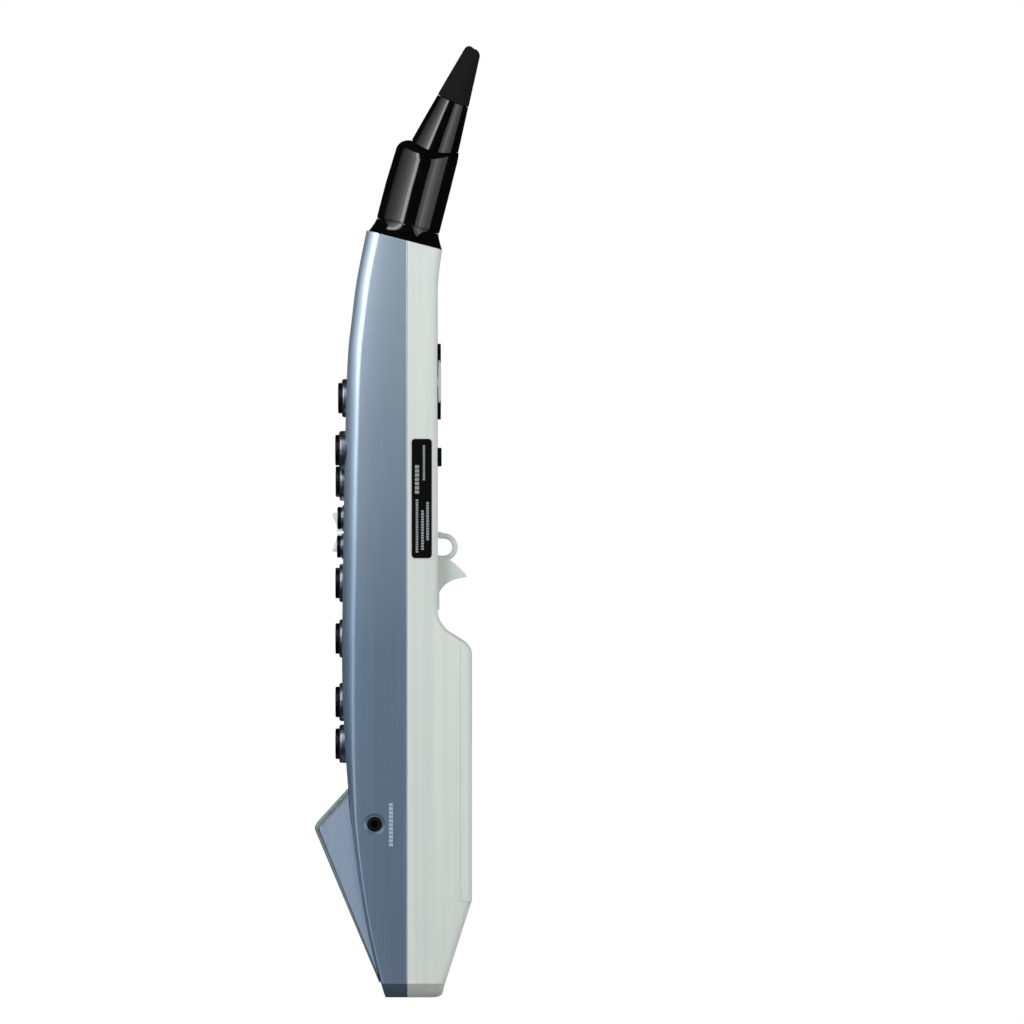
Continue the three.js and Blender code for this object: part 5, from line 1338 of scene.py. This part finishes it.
def beak_ring(share, growth):
    left = max((1 - share) * BEAK_LENGTH, 0)
    rounding = 0
    if left < BEAK_TIP_ROUND:
        rounding = BEAK_TIP_ROUND - sqrt(BEAK_TIP_ROUND ** 2 - (BEAK_TIP_ROUND - left) ** 2)
    inwards = growth - rounding
    depth = lerp(BEAK_BASE_HALF_DEPTH, BEAK_TIP_HALF_DEPTH, share) + inwards
    return neck_ring(
        lerp(BEAK_BASE_HALF_WIDTH, BEAK_TIP_HALF_WIDTH, share) + inwards, depth,
        lerp(BEAK_BASE_OFFSET, BEAK_TIP_OFFSET, share),
        lambda angle: BARREL_TOP + GAP + share * BEAK_LENGTH - BEAK_TIP_SLOPE * share * depth * sin(angle)
        - SHOULDER_DROP * (1 - share) ** 2 * cos(angle) ** 2)


def beak_shares(start, end):
    shares = [start + (end - start) * i / BEAK_STEPS for i in range(BEAK_STEPS)]
    if end < 1:
        return shares + [end]
    round_share = BEAK_TIP_ROUND / BEAK_LENGTH
    shares = [share for share in shares if share < 1 - round_share]
    return shares + [1 - round_share * (1 - sin(pi / 2 * i / CORNER_STEPS)) for i in range(CORNER_STEPS + 1)]


def beak_loft(start, end, growth):
    return loft([beak_ring(share, growth) for share in beak_shares(start, end)])


def air_way():
    start = neck_point(BARREL_TOP - BEAK_PLUG_LENGTH * 2)
    way = neck_point(BARREL_TOP + GAP + BEAK_LENGTH + GAP, BEAK_TIP_OFFSET) - start
    half_width = AIR_SLOT_HALF_WIDTH
    half_depth = AIR_SLOT_HALF_DEPTH
    hole = block((-half_width, -half_depth, 0), (half_width, half_depth, way.length))
    hole = bevelled(hole, half_depth / 2)
    turn = UPWARD.rotation_difference(way).to_matrix().to_4x4()
    return moved(hole, Matrix.Translation(start) @ turn)


def beak():
    lower = beak_loft(0, SLEEVE_START_SHARE, 0)
    core = beak_loft(SLEEVE_START_SHARE / 2, 1 - SLEEVE_THICKNESS / BEAK_LENGTH, -SLEEVE_THICKNESS - GAP)
    plug = rod(
        BEAK_PLUG_RADIUS, neck_point(BARREL_TOP - BEAK_PLUG_LENGTH, BEAK_BASE_OFFSET), NECK_AXIS,
        BEAK_PLUG_LENGTH + GAP * 2)
    return without(joined([lower, core, plug]), [air_way()])


def lip_sleeve():
    start = SLEEVE_START_SHARE + GAP / BEAK_LENGTH
    rounding = SLEEVE_LIP_ROUND / BEAK_LENGTH
    rings = []
    for step in range(ARC_STEPS):
        angle = pi / 2 * step / ARC_STEPS
        inset = SLEEVE_LIP_ROUND * (1 - sin(angle))
        rings.append(beak_ring(start + rounding * (1 - cos(angle)), SLEEVE_OVERHANG - inset))
    rings += [beak_ring(share, SLEEVE_OVERHANG) for share in beak_shares(start + rounding, 1)]
    skin = loft(rings)
    core = beak_loft(SLEEVE_START_SHARE / 2, 1 - (SLEEVE_THICKNESS - GAP) / BEAK_LENGTH, -SLEEVE_THICKNESS)
    return without(skin, [core, air_way()])


# Thumb controls, strap ring and hook
def octave_key(sign, back):
    face = crescent(sign, 0, back, NECK_DEPTH + OCTAVE_PROUD)
    flange = crescent(sign, FLANGE_REACH, back, back + FLANGE_THICKNESS)
    return joined([bevelled(face, OCTAVE_ROUND, angle=OCTAVE_EDGE_ANGLE), flange])


def function_button():
    low, high = body_box("function_button")
    top = high.y - low.y
    flange = FUNCTION_RADIUS + KEY_PLAY + FLANGE_REACH
    corners = flanged(FUNCTION_RADIUS, flange, FLANGE_THICKNESS, top, KEY_ROUND) + [(0, top)]
    return turned_knob(corners, rear_point((0, FUNCTION_HEIGHT), low.y), REARWARD)


def thumb_rest():
    base = NECK_DEPTH + GAP
    rim = body_box("thumb_rest")[1].y - base
    corners = [(0, 0), (THUMB_REST_RADIUS, 0), (THUMB_REST_RADIUS, rim / 2, rim * REST_FOOT_ROUND_SHARE),
               (THUMB_REST_RADIUS * REST_TOP_SHARE, rim, REST_ROUND), (0, rim - GAP)]
    return turned_knob(corners, rear_point(THUMB_REST_PLACE, base), REARWARD)


def strap_ring():
    foot = NECK_DEPTH + GAP
    left = RING_PLACE.x - RING_THICKNESS / 2
    outline = [(foot, RING_PLACE.z + RING_OUTER + RING_LEG_FLARE)]
    outline += arc(RING_PLACE.y, RING_PLACE.z, RING_OUTER, pi / 2, -pi, RING_STEPS)
    outline += [(foot, RING_PLACE.z - RING_OUTER), (foot, RING_PLACE.z - RING_INNER)]
    outline += arc(RING_PLACE.y, RING_PLACE.z, RING_INNER, -pi / 2, pi, RING_STEPS)
    outline.append((foot, RING_PLACE.z + RING_INNER))
    return bevelled(side_prism(outline, left, left + RING_THICKNESS), RING_ROUND, ARC_STEPS)


def hook_outline():
    foot = NECK_DEPTH + GAP
    reach = HOOK_TIP_DEPTH - foot
    tip = HOOK_LOW + HOOK_TIP_RISE
    outline = [(foot, HOOK_TOP)]
    outline += quadratic(
        outline[-1], (foot + reach / 2, HOOK_TOP - HOOK_BROW_DROP),
        (HOOK_TIP_DEPTH - HOOK_RIB, tip + HOOK_RIB))
    outline += [(HOOK_TIP_DEPTH, tip), (HOOK_TIP_DEPTH - HOOK_RIB * 2, tip - HOOK_RIB)]
    outline += quadratic(
        outline[-1], (foot + reach * HOOK_BEND_SHARE, tip - HOOK_BEND_DROP),
        (foot + HOOK_PLATE, HOOK_LOW + HOOK_TAIL_RISE))
    outline.append((foot, HOOK_LOW + HOOK_TAIL_RISE))
    return outline


def thumb_hook():
    foot = NECK_DEPTH + GAP
    left = HOOK_OFFSET - HOOK_WIDTH / 2
    right = HOOK_OFFSET + HOOK_WIDTH / 2
    horn = bevelled(side_prism(hook_outline(), left, right), HOOK_ROUND, angle=BLUNT_ANGLE)
    plate = bevelled(block((left, foot, HOOK_LOW), (right, foot + HOOK_PLATE, HOOK_TOP)), HOOK_ROUND)
    ribs = []
    for i in range(HOOK_RIB_COUNT):
        low = HOOK_LOW + HOOK_RIB + i * HOOK_RIB_PITCH
        rib = block((left + HOOK_RIB, foot, low),
                    (right - HOOK_RIB, foot + HOOK_PLATE + HOOK_RIB_HEIGHT, low + HOOK_RIB))
        ribs.append(bevelled(rib, HOOK_RIB_ROUND))
    notch_left = RING_PLACE.x - RING_THICKNESS / 2 - GAP
    notch_width = RING_THICKNESS + GAP * 2
    round_notch = rod(
        RING_OUTER + GAP, Vector((notch_left, RING_PLACE.y, RING_PLACE.z)), RIGHTWARD, notch_width, TURNS)
    foot_notch = block(
        (notch_left, 0, RING_PLACE.z - RING_OUTER - GAP),
        (notch_left + notch_width, RING_PLACE.y, RING_PLACE.z))
    return without(joined([horn, plate] + ribs), [round_notch, foot_notch])


# Screws
def screw(name):
    low, high = body_box(name)
    middle = (low + high) / 2
    top = high.y - low.y
    head = top - SCREW_HEAD_HEIGHT
    corners = [
        (0, 0), (SCREW_SHANK, 0), (SCREW_SHANK, head), (SCREW_HEAD_RADIUS, head),
        (SCREW_HEAD_RADIUS, top, SCREW_HEAD_HEIGHT / 2), (0, top),
    ]
    made = turned_knob(corners, Vector((middle.x, low.y, middle.z)), REARWARD, SMALL_TURNS)
    return without(made, [block(
        (middle.x - across, high.y - CROSS_DEPTH, middle.z - up),
        (middle.x + across, high.y + WALL, middle.z + up),
    ) for across, up in ((CROSS_REACH, CROSS_HALF), (CROSS_HALF, CROSS_REACH))])


# Speaker horn
def horn_outline(insets):
    """The horn's side outline, drawn in from its top, from its front and at its foot."""
    top_inset, front_inset, foot_inset = insets
    top = Vector((-front_at(HORN_TOP), HORN_TOP))
    apex = Vector((-HORN_APEX_DEPTH, HORN_APEX_HEIGHT))
    foot = Vector((-front_at(HORN_FOOT) - HORN_FOOT_PROUD, HORN_FOOT))
    top_run = (apex - top).normalized()
    front_run = (foot - apex).normalized()
    top_in = Vector((-top_run.y, top_run.x))
    front_in = Vector((-front_run.y, front_run.x))
    across = top_in.x * front_in.y - top_in.y * front_in.x
    apex += Vector((top_inset * front_in.y - front_inset * top_in.y,
                    front_inset * top_in.x - top_inset * front_in.x)) / across
    top += top_in * top_inset
    foot += front_in * foot_inset
    around = max(HORN_APEX_ROUND - front_inset, GAP)
    before = apex - top_run * around
    after = apex + (foot - apex).normalized() * around
    back = front_at(HORN_FOOT) + HORN_FOOT_PROUD - HORN_BACK_DEPTH
    outline = [(top.x + HORN_RUN_IN, top.y + HORN_RUN_IN * top_run.y / top_run.x), tuple(before)]
    outline += quadratic(before, apex, after)
    outline += [tuple(foot), (-back, HORN_FOOT)]
    return outline, apex, front_run, front_in


def inside_grille(growth):
    return GRILLE_TOP_THICKNESS + growth, GRILLE_THICKNESS + growth, GRILLE_FOOT_THICKNESS + growth


def horn_solid(insets, half):
    return side_prism(horn_outline(insets)[0], -half, half)


def horn_face_frame():
    """The frame at the middle of the horn's grille: X across it, Y up it and Z out of it."""
    apex, run, inward = horn_outline(HORN_OUTSIDE)[1:]
    at = apex + run * DRIVER_DROP
    out = Vector((0, -inward.x, -inward.y))
    up = Vector((0, -run.x, -run.y))
    turn = Matrix((up.cross(out), up, out)).transposed().to_4x4()
    return Matrix.Translation((0, at.x, at.y)) @ turn


def horn_rod(radius, start, end):
    return moved(rod(radius, Vector((0, 0, -end)), UPWARD, end - start, TURNS), horn_face_frame())


def horn_opening():
    front = GRILLE_THICKNESS + HORN_WALL + GAP * 2
    return horn_rod(DRIVER_RADIUS + DRIVER_PLAY, front, front + FRONT_DEPTH)


def speaker_grille():
    band = bevelled(horn_solid(HORN_OUTSIDE, HORN_HALF), HORN_EDGE_ROUND, angle=HORN_EDGE_ANGLE)
    band = without(band, [horn_solid(inside_grille(0), SEAM_REACH), body_loft(GAP)])
    ends = SLOT_HEIGHT / 2
    slots = []
    for i in range(SLOT_COUNT):
        up = (i - (SLOT_COUNT - 1) / 2) * SLOT_PITCH
        half = sqrt(DRIVER_CONE ** 2 - up ** 2)
        outline = rounded_box(-half, half, up - ends, up + ends, ends * CORNER_LIMIT_SHARE)
        slot = prism(outline, -GRILLE_THICKNESS * 2, GRILLE_THICKNESS * 2, Matrix.Identity(3))
        slots.append(moved(slot, horn_face_frame()))
    return without(band, slots)


def speaker_housing():
    solid = horn_solid(inside_grille(GAP), HORN_HALF - GAP)
    above = block((-SEAM_REACH, -FRONT_DEPTH * 2, HORN_PANEL_FOOT), (SEAM_REACH, 0, BODY_HEIGHT))
    hollow = horn_solid(inside_grille(GAP + HORN_WALL), HORN_HALF - GAP - HORN_WALL)
    mouth = horn_rod(DRIVER_CONE + GAP, -MOUTH_REACH, GRILLE_THICKNESS + HORN_WALL + GAP * 2)
    return without(within(solid, above), [hollow, mouth, body_loft(GAP)])


# Jack, socket and switches
def headphone_jack():
    low, high = body_box("headphone_jack")
    back = half_width_at(JACK_HEIGHT) - WALL - GAP * 2
    body = block((low.x, low.y, low.z), (back, high.y, high.z))
    start = back - GAP
    length = high.x - start
    corners = [(0, 0), (JACK_NOZZLE, 0), (JACK_NOZZLE, length, GAP), (JACK_BORE + GAP, length), (0, length)]
    nozzle = turned_knob(corners, jack_point(start), RIGHTWARD)
    bore = rod(JACK_BORE, jack_point(low.x + WALL), RIGHTWARD, OVERRUN)
    return without(joined([body, nozzle]), [bore])


def usb_socket():
    low, high = body_box("usb_socket")
    shell = side_prism(usb_outline(0), low.x, high.x)
    slot = side_prism(usb_outline(-USB_LIP), low.x - GAP, high.x - USB_LIP * 2)
    half = USB_HALF_LENGTH - USB_TONGUE_INSET
    tongue = left_block(-high.x, -low.x - USB_LIP * 2, USB_LIP, USB_HEIGHT - half, USB_HEIGHT + half)
    return joined([without(shell, [slot]), tongue])


def power_button():
    low, high = body_box("power_button")
    length = high.x - low.x
    flange = POWER_RADIUS + POWER_FLANGE_REACH
    corners = flanged(POWER_RADIUS, flange, POWER_RADIUS - GAP / 2, length, GAP)
    at = Vector((high.x, -SIDE_CONTROL_DEPTH, POWER_HEIGHT))
    return turned_knob(corners + [(0, length)], at, LEFTWARD, SMALL_TURNS)


def slide_switch():
    low, high = body_box("slide_switch")
    plate_outer = half_width_at(SLIDE_HEIGHT) - WALL - GAP * 2
    half = SLIDE_HALF * 2
    knob = bevelled(left_block(
        -high.x, -low.x, SLIDE_HALF, SLIDE_HEIGHT - SLIDE_HALF, SLIDE_HEIGHT + SLIDE_HALF), GAP)
    plate = left_block(-high.x, plate_outer, half, SLIDE_HEIGHT - half, SLIDE_HEIGHT + half)
    grooves = []
    for i in range(SLIDE_RIDGES):
        up = SLIDE_HEIGHT + (i - (SLIDE_RIDGES - 1) / 2) * SLIDE_HALF / 2
        grooves.append(left_block(-low.x - GAP, -low.x + GAP, half, up - GAP / 2, up + GAP / 2))
    return without(joined([knob, plate]), grooves)


# The instrument
# The front shell carries the blue paint with its painted-light paler top
finish(front_shell(), "body_front", "body", "blue_shell", "front_shell")
finish(rear_shell(), "body_rear", "body", "grey_shell", "rear_shell")
finish(neck_collar(), "collar", "body", "gloss_black", "neck_collar")
finish(barrel(), "barrel", "mouthpiece", "gloss_black", "mouthpiece_barrel")
finish(beak(), "beak", "mouthpiece", "gloss_black", "mouthpiece_beak")
finish(lip_sleeve(), "sleeve", "mouthpiece", "lip_black", "lip_sleeve")
for number in LARGE_KEYS + SMALL_KEYS:
    key = key_layers(number)
    finish(key_bezel(key), f"bezel_{number}", "body", "bezel_blue", f"key_bezel_{number}")
    cap = key_cap(key) if number in LARGE_KEYS else small_cap(key)
    finish(cap, f"cap_{number}", f"key_{number}", "key_black", f"key_cap_{number}")
    if number in SMALL_KEYS:
        finish(small_ring(key), f"cap_ring_{number}", f"key_{number}", "bezel_blue")
finish(paddle("side_key_upper", UPPER), "paddle_upper", "upper_side_key", "frost", "side_key_upper")
finish(paddle("side_key_lower", LOWER), "paddle_lower", "lower_side_key", "frost", "side_key_lower")
octave_back = body_box("octave_up_key")[0].y
finish(octave_key(UPPER, octave_back), "octave_up_crescent", "octave_up", "key_black", "octave_up_key")
finish(octave_key(LOWER, octave_back), "octave_down_crescent", "octave_down", "key_black", "octave_down_key")
finish(function_button(), "function_cap", "function", "key_black", "function_button")
finish(thumb_rest(), "rest", "body", "thumb_parts", "thumb_rest")
finish(strap_ring(), "ring", "body", "thumb_parts", "strap_ring")
finish(thumb_hook(), "hook", "body", "thumb_parts", "thumb_hook")
for name in [place[0] for place in SCREW_PLACES] + ["screw_neck"]:
    finish(screw(name), name.replace("screw", "cross_screw"), "body", "steel", name, look="dark_steel")
finish(battery_door(), "door_cover", "door", "grey_shell", "battery_door")
finish(battery_label(), "door_label", "door", "label_black", "battery_label")
finish(side_label(), "side_film", "body", "label_black", "side_label")
finish(door_print(), "door_print", "door", "frost", look="print")
finish(side_print(), "side_print", "body", "frost", look="print")
finish(jack_print(), "jack_print", "body", "frost", look="blue_print")
finish(rear_print(), "rear_print", "body", "key_black", look="dark_print")
finish(headphone_jack(), "jack", "body", "inner_black", "headphone_jack")
finish(usb_socket(), "usb", "body", "steel", "usb_socket")
finish(power_button(), "power_cap", "power", "key_black", "power_button")
finish(slide_switch(), "slide_knob", "mode_slider", "key_black", "slide_switch")
finish(speaker_grille(), "grille", "body", "grille_dark", "speaker_grille")
# The horn housing wears the paler copy of the blue paint, which is painted light
finish(speaker_housing(), "horn_housing", "body", "pale_blue_shell", "speaker_housing")

# Nodes of the CAD model that stay, by their looks
KEPT_NODES = {
    "inner_black": ("battery_tray", "breath_sensor"),
    "cell_skin": ("battery_cell_1", "battery_cell_2", "battery_cell_3", "battery_cell_4"),
    "steel": ("contact_plate_lower", "contact_plate_upper"), "cone_paper": ("speaker_driver",),
    "board_green": ("key_board", "rear_board"), "soft_tube": ("breath_tube",),
}
for look, names in KEPT_NODES.items():
    for name in names:
        for material_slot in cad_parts[name].material_slots:
            material_slot.link = "OBJECT"
            material_slot.material = finishes[look]


# Camera: level with the body, square to its right side, far away with a very long lens
def make_camera():
    data = bpy.data.cameras.new("camera")
    data.lens = LENS
    data.sensor_width = SENSOR
    camera = linked("camera", data)
    camera.location = CAMERA_PLACE
    camera.rotation_euler = (pi / 2, 0, pi / 2)
    bpy.context.scene.camera = camera


# World: white for the camera and for reflections, soft and dimmer for diffuse light
def make_world():
    world = bpy.data.worlds.new("studio")
    world.use_nodes = True
    tree = world.node_tree
    light = tree.nodes["Background"]
    rays = add_node(tree, "LightPath").outputs
    seen = add_node(tree, "Math", {0: rays["Is Camera Ray"], 1: rays["Is Glossy Ray"]}, operation="MAXIMUM")
    clear = add_node(
        tree, "Math", {0: seen.outputs[0], 1: rays["Is Transmission Ray"]}, operation="MAXIMUM")
    strength = add_node(tree, "MapRange", {
        "Value": clear.outputs[0], "To Min": WORLD_LIGHT, "To Max": BACKGROUND_LIGHT})
    set_inputs(tree, light, {"Color": WHITE, "Strength": strength.outputs["Result"]})
    bpy.context.scene.world = world


def soft_box(angle, power, ends, shows):
    low, high = ends
    data = bpy.data.lights.new(f"soft_box_{angle}", "AREA")
    data.shape = "RECTANGLE"
    data.size = 2 * BOX_DISTANCE * tan(radians(BOX_STEP / 2))
    data.size_y = high - low
    data.energy = power
    lamp = linked(data.name, data)
    turn = radians(angle)
    lamp.location = (BOX_DISTANCE * cos(turn), BOX_DISTANCE * sin(turn), (low + high) / 2)
    lamp.rotation_euler = (pi / 2, 0, turn + pi / 2)
    lamp.visible_camera = False
    lamp.visible_glossy = shows


# A dark tent round the instrument, which only shows in reflections
def tent():
    low = FLOOR_HEIGHT + TENT_LIFT
    cards = turned([(0, low), (TENT_RADIUS, low), (TENT_RADIUS, TENT_TOP), (0, TENT_TOP)], Vector(), UPWARD)
    cards.name = "dark_tent"
    cards.data.materials.append(surface(*TENT_SHADES, MATT, BROAD_GRAIN, specular=0.0))
    for rays in ("camera", "diffuse", "shadow", "transmission"):
        setattr(cards, "visible_" + rays, False)


# Floor: as white as the background to the camera, and grey to all else, so that less light comes up from it
def floor():
    ends = (-FLOOR_REACH, FLOOR_REACH)
    made = mesh_object([(x, y, FLOOR_HEIGHT) for x in ends for y in ends], [(0, 2, 3, 1)])
    made.name = "floor"
    material = surface(*FLOOR_SHADES, MATT, BROAD_GRAIN, specular=0.0)
    tree = material.node_tree
    shader = tree.nodes["Principled BSDF"]
    seen = add_node(tree, "LightPath").outputs["Is Camera Ray"]
    shade = shader.inputs["Base Color"].links[0].from_socket
    mix = add_node(tree, "Mix", {"Factor": seen, "A": shade, "B": BLACK}, data_type="RGBA")
    set_inputs(tree, shader, {
        "Emission Color": WHITE, "Emission Strength": seen, "Base Color": mix.outputs["Result"]})
    made.data.materials.append(material)


make_camera()
make_world()
for boxes, ends, shows in (
        (STRONG_BOXES, STRONG_BOX_ENDS, True), (LOW_BOXES, LOW_BOX_ENDS, True),
        (WEAK_BOXES, WEAK_BOX_ENDS, True), (REAR_BOXES, WEAK_BOX_ENDS, False)):
    for angle, power in boxes:
        soft_box(angle, power, ends, shows)
tent()
floor()

bpy.context.scene.view_settings.view_transform = "Standard"
